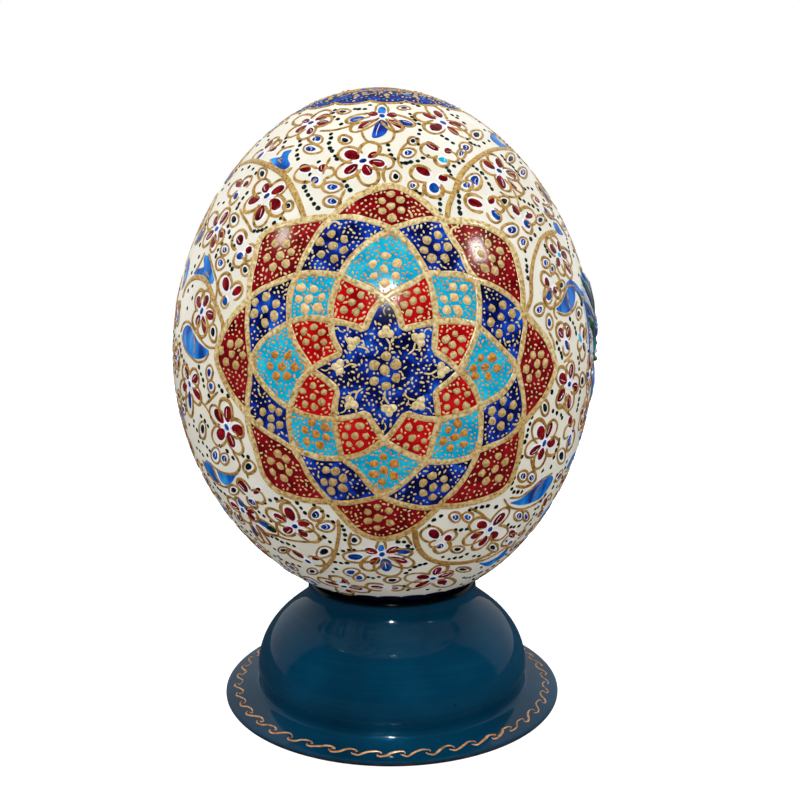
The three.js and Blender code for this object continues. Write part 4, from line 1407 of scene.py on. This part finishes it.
def enamel_specks_and_painted_lip_shade(nt, tc, colour):
    """A few pin-holes and dust specks in the enamel, faint turning lines, and painted shade near black on the lip under
    the shell.
    """
    vo = nt.nodes.new("ShaderNodeTexVoronoi")
    vo.inputs["Scale"].default_value = 120.0
    nt.links.new(tc.outputs["Object"], vo.inputs["Vector"])
    mr = nt.nodes.new("ShaderNodeMapRange")
    mr.inputs["From Min"].default_value = 0.03
    mr.inputs["From Max"].default_value = 0.06
    mr.inputs["To Min"].default_value = 0.7
    mr.inputs["To Max"].default_value = 0.0
    nt.links.new(vo.outputs["Distance"], mr.inputs["Value"])
    mx = nt.nodes.new("ShaderNodeMix")
    mx.data_type = "RGBA"
    for s in mx.inputs:
        if s.name == "A" and s.type == "RGBA":
            nt.links.new(colour, s)
        if s.name == "B" and s.type == "RGBA":
            s.default_value = lin("#06202F")
    nt.links.new(mr.outputs["Result"], mx.inputs["Factor"])
    # faint turning lines under the glaze
    mp = nt.nodes.new("ShaderNodeMapping")
    mp.inputs["Scale"].default_value = (30.0, 30.0, 900.0)
    nt.links.new(tc.outputs["Object"], mp.inputs["Vector"])
    nl = nt.nodes.new("ShaderNodeTexNoise")
    nl.inputs["Scale"].default_value = 1.0
    nl.inputs["Detail"].default_value = 3.0
    nt.links.new(mp.outputs["Vector"], nl.inputs["Vector"])
    ml = nt.nodes.new("ShaderNodeMapRange")
    ml.inputs["From Min"].default_value = 0.5
    ml.inputs["From Max"].default_value = 0.75
    ml.inputs["To Min"].default_value = 0.0
    ml.inputs["To Max"].default_value = 0.12
    nt.links.new(nl.outputs["Fac"], ml.inputs["Value"])
    m1 = nt.nodes.new("ShaderNodeMix")
    m1.data_type = "RGBA"
    base = [o for o in mx.outputs if o.type == "RGBA"][0]
    for s in m1.inputs:
        if s.name == "A" and s.type == "RGBA":
            nt.links.new(base, s)
        if s.name == "B" and s.type == "RGBA":
            s.default_value = lin("#12506C")
    nt.links.new(ml.outputs["Result"], m1.inputs["Factor"])
    v2 = nt.nodes.new("ShaderNodeTexVoronoi")
    v2.inputs["Scale"].default_value = 75.0
    nt.links.new(tc.outputs["Object"], v2.inputs["Vector"])
    md = nt.nodes.new("ShaderNodeMapRange")
    md.inputs["From Min"].default_value = 0.018
    md.inputs["From Max"].default_value = 0.03
    md.inputs["To Min"].default_value = 0.55
    md.inputs["To Max"].default_value = 0.0
    nt.links.new(v2.outputs["Distance"], md.inputs["Value"])
    mx = nt.nodes.new("ShaderNodeMix")
    mx.data_type = "RGBA"
    base = [o for o in m1.outputs if o.type == "RGBA"][0]
    for s in mx.inputs:
        if s.name == "A" and s.type == "RGBA":
            nt.links.new(base, s)
        if s.name == "B" and s.type == "RGBA":
            s.default_value = lin("#7FA3B4")
    nt.links.new(md.outputs["Result"], mx.inputs["Factor"])
    # painted shade: the enamel goes near black on the lip, up where the shell sits in it
    sx = nt.nodes.new("ShaderNodeSeparateXYZ")
    nt.links.new(tc.outputs["Object"], sx.inputs["Vector"])
    mz = nt.nodes.new("ShaderNodeMapRange")
    mz.interpolation_type = "SMOOTHSTEP"
    mz.inputs["From Min"].default_value = 0.0327
    mz.inputs["From Max"].default_value = 0.0337
    nt.links.new(sx.outputs["Z"], mz.inputs["Value"])
    m2 = nt.nodes.new("ShaderNodeMix")
    m2.data_type = "RGBA"
    first = [o for o in mx.outputs if o.type == "RGBA"][0]
    for s in m2.inputs:
        if s.name == "A" and s.type == "RGBA":
            nt.links.new(first, s)
        if s.name == "B" and s.type == "RGBA":
            s.default_value = lin("#04060A")
    nt.links.new(mz.outputs["Result"], m2.inputs["Factor"])
    return [o for o in m2.outputs if o.type == "RGBA"][0]


def gold_patches_and_painted_low_shade(nt, tc, colour):
    """Gold paint goes browner in random patches, and is painted darker low on the shell as shade."""
    sx = nt.nodes.new("ShaderNodeSeparateXYZ")
    nt.links.new(tc.outputs["Object"], sx.inputs["Vector"])
    # painted shade: the gold darkens the lower it sits on the shell
    mz = nt.nodes.new("ShaderNodeMapRange")
    mz.inputs["From Min"].default_value = 0.135
    mz.inputs["From Max"].default_value = 0.06
    mz.inputs["To Min"].default_value = 0.0
    mz.inputs["To Max"].default_value = 0.55
    nt.links.new(sx.outputs["Z"], mz.inputs["Value"])
    nz = nt.nodes.new("ShaderNodeTexNoise")
    nz.inputs["Scale"].default_value = 55.0
    nz.inputs["Detail"].default_value = 2.0
    nt.links.new(tc.outputs["Object"], nz.inputs["Vector"])
    mn = nt.nodes.new("ShaderNodeMapRange")
    mn.inputs["From Min"].default_value = 0.42
    mn.inputs["From Max"].default_value = 0.66
    mn.inputs["To Min"].default_value = 0.0
    mn.inputs["To Max"].default_value = 0.45
    nt.links.new(nz.outputs["Fac"], mn.inputs["Value"])
    ad = nt.nodes.new("ShaderNodeMath")
    ad.operation = "ADD"
    ad.use_clamp = True
    nt.links.new(mz.outputs["Result"], ad.inputs[0])
    nt.links.new(mn.outputs["Result"], ad.inputs[1])
    mx = nt.nodes.new("ShaderNodeMix")
    mx.data_type = "RGBA"
    mx.blend_type = "MULTIPLY"
    for s in mx.inputs:
        if s.name == "A" and s.type == "RGBA":
            nt.links.new(colour, s)
        if s.name == "B" and s.type == "RGBA":
            s.default_value = (0.66, 0.5, 0.3, 1.0)
    nt.links.new(ad.outputs["Value"], mx.inputs["Factor"])
    return [o for o in mx.outputs if o.type == "RGBA"][0]


M = {}
M["egg"] = material("ivory_ground", [(0.3, "#E1DDCC"), (0.55, "#E9E5D7"), (0.75, "#F1EEE2")], 70, rough=0.42, coat=0.6, coat_rough=0.09, bump=0.06, bump_scale=260, spec=0.0, extra=shell_pores)
M["fleur"] = material("gold_paint_leaves", [(0.3, "#B49A60"), (0.5, "#DEC894"), (0.72, "#F2E4BC")], 1200, rough=0.5, coat=0.4, coat_rough=0.12, bump=0.35, bump_scale=1500, spec=0.05)
M["arc"] = material("gold_paint_sandy", [(0.3, "#8C7240"), (0.42, "#C6A96C"), (0.55, "#E2CE98"), (0.72, "#F6EAC4")], 1200, rough=0.5, metal=0.0, coat=0.55, coat_rough=0.12, bump=0.5, bump_scale=2400, detail=6, spec=0.05, extra=gold_patches_and_painted_low_shade)
M["gold"] = material("gold_paint", [(0.3, "#7C5C26"), (0.42, "#AC8744"), (0.56, "#C6A564"), (0.75, "#DCC48C")], 1300, rough=0.5, metal=0.0, coat=0.55, coat_rough=0.12, bump=0.5, bump_scale=2400, detail=6, spec=0.05, extra=gold_patches_and_painted_low_shade)
M["line"] = material("gold_paint_mustard", [(0.3, "#6E4E1C"), (0.42, "#9C7632"), (0.56, "#BC964E"), (0.75, "#D8BA78")], 700, rough=0.5, metal=0.0, coat=0.55, coat_rough=0.12, bump=0.4, bump_scale=2400, detail=6, spec=0.05, extra=gold_patches_and_painted_low_shade)
M["goldblob"] = material("gold_paint_beads", [(0.3, "#A0864C"), (0.5, "#CCB47A"), (0.72, "#E6D4A2")], 1200, rough=0.5, coat=0.55, coat_rough=0.12, bump=0.35, bump_scale=1500, spec=0.05, extra=gold_patches_and_painted_low_shade)
M["beadgrey"] = material("gold_paint_beads_grey", [(0.3, "#9C8850"), (0.5, "#CDB880"), (0.72, "#E6D8A8")], 1200, rough=0.5, coat=0.55, coat_rough=0.12, bump=0.35, bump_scale=1500, spec=0.05, extra=gold_patches_and_painted_low_shade)
M["beadpale"] = material("gold_paint_beads_pale", [(0.3, "#D09C58"), (0.5, "#E8BE80"), (0.72, "#F6DAA8")], 1200, rough=0.5, coat=0.3, coat_rough=0.2, bump=0.35, bump_scale=1500, spec=0.05)
M["goldwarm"] = material("gold_paint_warm", [(0.3, "#8E4E10"), (0.5, "#BE7C2A"), (0.72, "#DCA258")], 1200, rough=0.5, coat=0.3, coat_rough=0.2, bump=0.35, bump_scale=1500, spec=0.05)
M["warmfine"] = material("gold_paint_warm_fine", [(0.3, "#B07024"), (0.5, "#CE8E42"), (0.72, "#ECB67A")], 900, rough=0.5, coat=0.3, coat_rough=0.2, bump=0.2, bump_scale=1800, spec=0.05)
M["cream"] = material("gold_paint_fine", [(0.3, "#D2B87A"), (0.55, "#EAD8A0"), (0.75, "#F6EAC0")], 900, rough=0.5, coat=0.3, coat_rough=0.2, bump=0.2, bump_scale=1800, spec=0.05, extra=gold_patches_and_painted_low_shade)
M["azure"] = material("paint_azure", [(0.34, "#06388A"), (0.48, "#0C66C0"), (0.62, "#1C86DC"), (0.75, "#5AB0EC")], 300, rough=0.42, coat=0.5, coat_rough=0.12, bump=0.1, spec=0.0, stretch=(1, 1, 0.45))
M["maroon"] = material("paint_maroon", [(0.32, "#4E0009"), (0.52, "#7E0612"), (0.7, "#9A0F22")], 240, rough=0.45, coat=0.55, coat_rough=0.12, bump=0.1, spec=0.0)
M["crimson"] = material("paint_crimson", [(0.32, "#8C000A"), (0.52, "#B80410"), (0.7, "#D0121C")], 240, rough=0.45, coat=0.55, coat_rough=0.12, bump=0.1, spec=0.0)
M["turquoise"] = material("paint_turquoise", [(0.32, "#0090BC"), (0.52, "#08AED2"), (0.7, "#2CC2DC")], 240, rough=0.45, coat=0.55, coat_rough=0.12, bump=0.1, spec=0.0)
M["navy"] = material("paint_navy", [(0.34, "#020830"), (0.46, "#041256"), (0.58, "#0A329E"), (0.72, "#1160CE")], 240, rough=0.45, coat=0.55, coat_rough=0.12, bump=0.1, spec=0.0)
M["royal"] = material("paint_royal_blue", [(0.34, "#031E54"), (0.5, "#053688"), (0.7, "#0F5EB2")], 420, rough=0.42, coat=0.55, coat_rough=0.12, bump=0.1, spec=0.0)
M["red"] = material("paint_dark_red", [(0.34, "#480208"), (0.52, "#740610"), (0.72, "#9C101A")], 500, rough=0.42, coat=0.55, coat_rough=0.12, bump=0.1, spec=0.0)
M["white"] = material("paint_white", [(0.3, "#E2E2EC"), (0.7, "#FAFAFF")], 500, rough=0.45, coat=0.55, coat_rough=0.12, bump=0.08, spec=0.0)
M["dark"] = material("paint_blackgreen", [(0.34, "#020A08"), (0.55, "#061A15"), (0.75, "#103428")], 520, rough=0.35, coat=0.55, coat_rough=0.12, bump=0.1, spec=0.0)
M["violet"] = material("paint_blue_violet", [(0.34, "#08083C"), (0.5, "#14186A"), (0.62, "#1E34A0"), (0.76, "#3A62C8")], 330, rough=0.5, coat=0.25, coat_rough=0.12, bump=0.1, spec=0.0)
# painted shade: a near-black copy of the violet medallion paint, for the shaded lower pole
M["violet_shaded"] = material("paint_violet_painted_shade", [(0.34, "#04040E"), (0.52, "#080820"), (0.72, "#101848")], 260, rough=0.45, coat=0.5, coat_rough=0.12, bump=0.1, spec=0.0)
M["enamel"] = material("stand_enamel", [(0.3, "#03293E"), (0.55, "#03334C"), (0.75, "#063E5A")], 28, rough=0.3, coat=0.5, coat_rough=0.03, bump=0.06, bump_scale=55, rough_var=0.05, spec=0.0, extra=enamel_specks_and_painted_lip_shade)
M["copper"] = material("copper_edge", [(0.3, "#2A1A12"), (0.55, "#4A2E20"), (0.75, "#6E4630")], 300, rough=0.45, metal=0.6, coat=0.1, coat_rough=0.2, bump=0.2, bump_scale=900)
M["scroll"] = material("scroll_copper_gold", [(0.3, "#865830"), (0.5, "#B88252"), (0.72, "#DCAE7C")], 700, rough=0.5, metal=0.1, coat=0.3, coat_rough=0.2, bump=0.3, bump_scale=1200, spec=0.3)
M["r_teal"] = material("relief_teal", [(0.34, "#0B4A55"), (0.55, "#157E8C"), (0.72, "#3CA8A8")], 350, rough=0.4, bump=0.15, stretch=(1, 1, 0.3))
M["r_blue"] = material("relief_blue", [(0.34, "#0A2A66"), (0.55, "#1A55A0"), (0.72, "#4A84C8")], 350, rough=0.4, bump=0.15, stretch=(1, 1, 0.3))
M["r_green"] = material("relief_green", [(0.34, "#12291C"), (0.55, "#2A4F38"), (0.72, "#4F7A52")], 350, rough=0.4, bump=0.15, stretch=(1, 1, 0.3))
M["r_pale"] = material("relief_pale", [(0.34, "#A9AFC6"), (0.72, "#E6E8F0")], 350, rough=0.4, bump=0.1)
M["r_ochre"] = material("relief_ochre", [(0.34, "#9A8A2A"), (0.72, "#D2C24A")], 350, rough=0.4, bump=0.1)


# ------------------------------------------------------------------ the shell
def make_shell():
    rings, segs = 200, 256
    v, f = [], []
    for i in range(rings + 1):
        s = math.sin(-math.pi / 2 + math.pi * i / rings)
        if i in (0, rings):
            v.append((bend_of(s), 0.0, B * s))
            continue
        r = A * math.sqrt(1 - s * s) * g_of(s) / NORM
        for j in range(segs):
            a = 2 * math.pi * j / segs
            v.append((r * math.cos(a) + bend_of(s), r * math.sin(a), B * s))
    for j in range(segs):
        f.append((0, 1 + (j + 1) % segs, 1 + j))
    for i in range(rings - 2):
        a0, b0 = 1 + i * segs, 1 + (i + 1) * segs
        for j in range(segs):
            k = (j + 1) % segs
            f.append((a0 + j, a0 + k, b0 + k, b0 + j))
    last = len(v) - 1
    b0 = 1 + (rings - 2) * segs
    for j in range(segs):
        f.append((b0 + j, b0 + (j + 1) % segs, last))
    p = to_world(np.array(v))
    return new_piece("egg_shell", p, f, M["egg"], replaces="egg")


# ------------------------------------------------------------------ the stand
DOME = [(41.85, 3.05), (41.76, 4.2), (42.0, 6.3), (42.14, 8.2), (41.85, 10.5), (41.25, 13.0), (40.04, 16.0), (38.18, 19.0), (35.57, 22.0), (32.65, 24.5), (29.98, 26.5), (28.24, 28.0), (27.17, 29.2), (26.6, 30.2), (26.36, 31.2)]
LIP = [(26.3, 32.3), (26.2, 33.1), (25.97, 33.75), (25.65, 34.25), (25.25, 34.45), (24.85, 34.3), (24.65, 33.85), (24.63, 32.85)]
FOOT = [(51.9, 0), (52.05, 0.25), (52.05, 0.7), (51.7, 0.95), (50.4, 1.16), (48.5, 1.45), (46.4, 1.78), (44.2, 2.14), (42.9, 2.38), (42.2, 2.62)]
WALL = 1.4


def stand_profile():
    inner = []
    for i in range(len(DOME) - 1, -1, -1):
        a, b = DOME[max(0, i - 1)], DOME[min(len(DOME) - 1, i + 1)]
        L = math.hypot(b[0] - a[0], b[1] - a[1])
        inner.append((DOME[i][0] - WALL * (b[1] - a[1]) / L, DOME[i][1] + WALL * (b[0] - a[0]) / L))
    foot_in = [(41.4, 1.75), (42.7, 1.05), (44.2, 0.6), (45.6, 0.2), (46.6, 0.0)]
    smooth, _ = spline(FOOT[2:] + DOME + LIP + inner + foot_in[:-1], False, 0.75)
    smooth[:, 1] = np.maximum(smooth[:, 1], 0.02)
    return np.concatenate([[FOOT[0], FOOT[1]], smooth, [foot_in[-1]]])


def make_stand():
    prof = stand_profile()
    segs = 288
    m = len(prof)
    a = np.linspace(0, 2 * math.pi, segs, endpoint=False)
    v = np.stack([SX + prof[:, None, 0] * np.cos(a)[None], prof[:, None, 0] * np.sin(a)[None], np.broadcast_to(prof[:, None, 1], (m, segs))], -1).reshape(-1, 3)
    i = np.arange(m)
    f = []
    for q in range(m):
        q2 = (q + 1) % m
        for j in range(segs):
            k = (j + 1) % segs
            f.append((q * segs + j, q * segs + k, q2 * segs + k, q2 * segs + j))
    ob = new_piece("stand_body", v, f, M["enamel"], replaces="stand")
    return ob


def flange_z(r):
    """Height of the flange's upper face at radius r."""
    xs = [p[0] for p in FOOT[::-1]][:-2]
    zs = [p[1] for p in FOOT[::-1]][:-2]
    return float(np.interp(r, xs, zs))


def make_rim_edge():
    """The bare copper edge of the sheet: a thin band around the flange's rim."""
    segs = 288
    prof = [(51.9, 0.72), (52.09, 0.66), (52.12, 0.48), (52.1, 0.3), (51.95, 0.2)]
    a = np.linspace(0, 2 * math.pi, segs, endpoint=False)
    P = np.array(prof)
    m = len(prof)
    v = np.stack([SX + P[:, None, 0] * np.cos(a), P[:, None, 0] * np.sin(a), np.broadcast_to(P[:, None, 1], (m, segs))], -1).reshape(-1, 3)
    f = []
    for q in range(m - 1):
        for j in range(segs):
            k = (j + 1) % segs
            f.append((q * segs + j, (q + 1) * segs + j, (q + 1) * segs + k, q * segs + k))
    f = [tuple(reversed(x)) for x in f]
    return new_piece("stand_copper_edge", v, f, M["copper"])


def make_scroll():
    """The running-wave scroll painted on the flange."""
    bt = Batch()
    count = 46
    unit = [(-0.05, -0.2), (0.0, -0.62), (0.15, -0.82), (0.36, -0.45), (0.58, 0.32), (0.8, 0.8), (1.02, 0.7), (1.15, 0.28), (1.1, -0.05)]
    r = np.random.default_rng(8)
    for k in range(count):
        j = r.uniform(-0.07, 0.07, (len(unit), 2))
        amp = 1.4 * r.uniform(0.78, 1.15)
        pts = [((k + u + j[i][0]) * 2 * math.pi / count, 48.35 - (w + j[i][1]) * amp) for i, (u, w) in enumerate(unit)]
        c, _ = spline([(a * 48.35, rr) for a, rr in pts], False, 0.45)
        ang = c[:, 0] / 48.35
        rad = c[:, 1]
        z = np.array([flange_z(x) for x in rad])
        p = np.stack([SX + rad * np.cos(ang), rad * np.sin(ang), z], -1)
        n = np.tile(np.array([[0.0, 0.0, 1.0]]), (len(p), 1)) + np.stack([np.cos(ang) * 0.15, np.sin(ang) * 0.15, np.zeros(len(p))], -1)
        n /= np.linalg.norm(n, axis=1, keepdims=True)
        m = len(p)
        t = np.linspace(0, 1, m)
        w = 0.32 + r.uniform(0.2, 0.55) * np.sin(np.clip(t * 1.15, 0, 1) * math.pi) ** 0.8
        ribbon(bt, p, n, w * wobble(m, 0.15, 900 + k), 0.16, low=-0.05)
    return new_piece("stand_scroll", np.concatenate(bt.v), np.concatenate(bt.f), M["scroll"])


# ------------------------------------------------------------------ draw everything
TOP_R = 28.9
for TURN in (0.0, math.pi):
    draw_rosette()
    draw_ground()
TURN = 0.0
medallion(True, R=TOP_R, lobes=18, phase=0.1)
medallion(False, R=30.2, lobes=28, phase=0.1)
draw_bird()
fill_flanks()

make_shell()
make_stand()
make_rim_edge()
make_scroll()
NAMES = {"gold": ("gold_vines", "gold_paint"), "arc": ("gold_rosette_lines", "gold_paint"), "line": ("gold_fine_lines", "gold_paint"), "azure": ("paint_azure", "egg_paint"), "beadgrey": ("gold_beads_grey", "gold_paint"), "beadpale": ("gold_beads_pale", "gold_paint"), "fleur": ("gold_star_leaves", "gold_paint"), "goldblob": ("gold_beads", "gold_paint"), "goldwarm": ("gold_beads_warm", "gold_paint"), "cream": ("gold_fine_dots", "gold_paint"), "warmfine": ("gold_fine_dots_warm", "gold_paint"), "violet_shaded": ("paint_violet_painted_shade", "egg_paint"),
         "maroon": ("paint_maroon", "egg_paint"), "crimson": ("paint_crimson", "egg_paint"), "turquoise": ("paint_turquoise", "egg_paint"), "navy": ("paint_navy", "egg_paint"),
         "royal": ("paint_royal_blue", "egg_paint"), "red": ("paint_dark_red", "egg_paint"), "white": ("paint_white", "egg_paint"), "dark": ("paint_black_green", "egg_paint"), "violet": ("paint_blue_violet", "egg_paint")}
for key, bt in G.items():
    if bt.n:
        new_piece(NAMES[key][0], np.concatenate(bt.v), np.concatenate(bt.f), M[key])
RN = {"teal": "r_teal", "blue": "r_blue", "leafgreen": "r_green", "pale": "r_pale", "ochre": "r_ochre"}
for key, bt in R_.items():
    if bt.n:
        new_piece("bird_" + key, np.concatenate(bt.v), np.concatenate(bt.f), M[RN[key]])

# ------------------------------------------------------------------ floor, lights, camera
scene = bpy.context.scene
scene.view_settings.view_transform = "Standard"
fm = bpy.data.materials.new("floor_white")
fm.use_nodes = True
fb = fm.node_tree.nodes["Principled BSDF"]
fb.inputs["Base Color"].default_value = (0.5, 0.5, 0.5, 1)
fb.inputs["Roughness"].default_value = 0.9
fb.inputs["Specular IOR Level"].default_value = 0.1
fb.inputs["Emission Color"].default_value = (1, 1, 1, 1)
fp = fm.node_tree.nodes.new("ShaderNodeLightPath")
fx = fm.node_tree.nodes.new("ShaderNodeMath")
fx.operation = "MULTIPLY"
fx.inputs[1].default_value = 0.8  # the paper behind the object burns out to white without throwing more light on it
fm.node_tree.links.new(fp.outputs["Is Camera Ray"], fx.inputs[0])
fm.node_tree.links.new(fx.outputs["Value"], fb.inputs["Emission Strength"])
fg = fm.node_tree.nodes.new("ShaderNodeMix")  # and the enamel mirrors a dim table, as in the photograph
fg.data_type = "RGBA"
fg.inputs[6].default_value = (0.5, 0.5, 0.5, 1)
fg.inputs[7].default_value = (0.05, 0.05, 0.05, 1)
fm.node_tree.links.new(fp.outputs["Is Glossy Ray"], fg.inputs[0])
fm.node_tree.links.new(fg.outputs[2], fb.inputs["Base Color"])
me = bpy.data.meshes.new("floor")
fv, ff = [], []
ring_n = 96
for rr in (1.5, 4.0, 12.0):
    for q in range(ring_n):
        fv.append((rr * math.cos(2 * math.pi * q / ring_n), rr * math.sin(2 * math.pi * q / ring_n), -0.0002))
fv.append((0, 0, -0.0002))
for i in range(2):
    for q in range(ring_n):
        ff.append((i * ring_n + q, (i + 1) * ring_n + q, (i + 1) * ring_n + (q + 1) % ring_n, i * ring_n + (q + 1) % ring_n))
for q in range(ring_n):
    ff.append((3 * ring_n, q, (q + 1) % ring_n))
me.from_pydata(fv, [], ff)
me.polygons.foreach_set("use_smooth", [True] * len(me.polygons))
me.materials.append(fm)
floor = bpy.data.objects.new("floor", me)
scene.collection.objects.link(floor)

world = bpy.data.worlds.new("studio")
scene.world = world
world.use_nodes = True
wt = world.node_tree
bg = wt.nodes["Background"]
bg.inputs["Strength"].default_value = 1.0
lp = wt.nodes.new("ShaderNodeLightPath")
tcw = wt.nodes.new("ShaderNodeTexCoord")
sep = wt.nodes.new("ShaderNodeSeparateXYZ")
wt.links.new(tcw.outputs["Generated"], sep.inputs["Vector"])
mrw = wt.nodes.new("ShaderNodeMapRange")
mrw.inputs["From Min"].default_value = -1.0
mrw.inputs["From Max"].default_value = 1.0
wt.links.new(sep.outputs["Y"], mrw.inputs["Value"])
rmp = wt.nodes.new("ShaderNodeValToRGB")  # a dark room in front with a clear edge, a white sweep behind
el = rmp.color_ramp.elements
el[0].position, el[0].color = 0.5, (0.012, 0.012, 0.012, 1)
el[1].position, el[1].color = 0.9, (0.75, 0.75, 0.75, 1)
for pos, v in ((0.535, 0.03), (0.57, 0.34), (0.7, 0.5)):
    e = el.new(pos)
    e.color = (v, v, v, 1)
wt.links.new(mrw.outputs["Result"], rmp.inputs["Fac"])


def wmix(fac, a, b):
    n = wt.nodes.new("ShaderNodeMix")
    n.data_type = "FLOAT"
    wt.links.new(fac, n.inputs["Factor"])
    for sock, val in ((n.inputs[2], a), (n.inputs[3], b)):
        if isinstance(val, float):
            sock.default_value = val
        else:
            wt.links.new(val, sock)
    return n.outputs[0]


level = wmix(lp.outputs["Is Glossy Ray"], 0.6, rmp.outputs["Color"])
level = wmix(lp.outputs["Is Camera Ray"], level, 1.0)
wt.links.new(level, bg.inputs["Strength"])
bg.inputs["Color"].default_value = (1, 1, 1, 1)


def soft_sun(name, azimuth, elevation, strength, spread=50):
    ld = bpy.data.lights.new(name, "SUN")
    ld.energy = strength
    ld.angle = math.radians(spread)
    ob = bpy.data.objects.new(name, ld)
    a, e = math.radians(azimuth), math.radians(elevation)
    d = Vector((math.cos(e) * math.cos(a), math.cos(e) * math.sin(a), math.sin(e)))
    ob.rotation_euler = d.to_track_quat("Z", "Y").to_euler()
    ob.visible_glossy = False
    scene.collection.objects.link(ob)
    return ob


def area(name, loc, target, size, energy, shape="RECTANGLE", size_y=None):
    ld = bpy.data.lights.new(name, "AREA")
    ld.shape = shape
    ld.size = size
    if size_y:
        ld.size_y = size_y
    ld.energy = energy
    ob = bpy.data.objects.new(name, ld)
    ob.location = loc
    ob.rotation_euler = (Vector(target) - Vector(loc)).to_track_quat("-Z", "Y").to_euler()
    ob.visible_diffuse = False  # these lamps make the glints and nothing else
    scene.collection.objects.link(ob)
    return ob


def mirror_spot(px, dist):
    """Where a lamp must hang to show its glint at a drawing-plane point."""
    p, n = hit([px])
    v = CAM - p[0]
    v /= np.linalg.norm(v)
    r = 2 * n[0] * np.dot(n[0], v) - v
    return (p[0] + r * dist) * MM


soft_sun("soft_left", -150, 47, 1.41)
soft_sun("soft_right", -35, 47, 1.3)
soft_sun("soft_back", 95, 58, 0.4)


EGG_LIT, STAND_LIT = bpy.data.collections.new("lit_egg"), bpy.data.collections.new("lit_stand")
for o in scene.objects:
    if o.type == "MESH" and not o.hide_render and o.name != "floor":
        (STAND_LIT if o.name.startswith("stand") else EGG_LIT).objects.link(o)
for nm, px, dist, size, e in (("glint_centre", (388, 293), 900, 0.12, 3.6), ("glint_left", (283, 236), 1000, 0.1, 0.8), ("glint_right", (478, 250), 1000, 0.12, 2.4)):
    ob = area(nm, tuple(mirror_spot(px, dist)), (0, 0, 0.12), size, e, size_y=size)
    ob.light_linking.receiver_collection = EGG_LIT
# two pin-point glints on the enamel: thin parallel beams, so nothing else on the stand shows them
for nm, p, r, e in (("spark_neck", (2.1, -27.4, 29.4), (-0.01, -0.68, 0.733), 4.0e-3), ("spark_fillet", (2.1, -41.95, 2.9), (-0.01, -0.5, 0.866), 1.2e-2)):
    p, r = np.array(p), np.array(r)
    ob = area(nm, tuple((p + r * 1000) * MM), tuple(p * MM), 0.008, e, size_y=0.008)
    ob.data.spread = math.radians(0.5)
    ob.data.use_shadow = False
    ob.light_linking.receiver_collection = STAND_LIT

cam_data = bpy.data.cameras.new("camera")
cam_data.lens = 38.25
cam_data.sensor_width = 36.0
cam_data.clip_start = 0.01
cam = bpy.data.objects.new("camera", cam_data)
cam.location = tuple(CAM * MM)
cam.rotation_euler = (math.radians(90) - PITCH, 0, 0)
scene.collection.objects.link(cam)
scene.camera = cam

tri = 0
for o in scene.objects:
    if o.type == "MESH" and not o.hide_render and o.name != "floor":
        o.data.calc_loop_triangles()
        k = len(o.data.loop_triangles)
        tri += k
        print("piece", o.name, k)
print("triangles", tri)

bpy.context.view_layer.update()
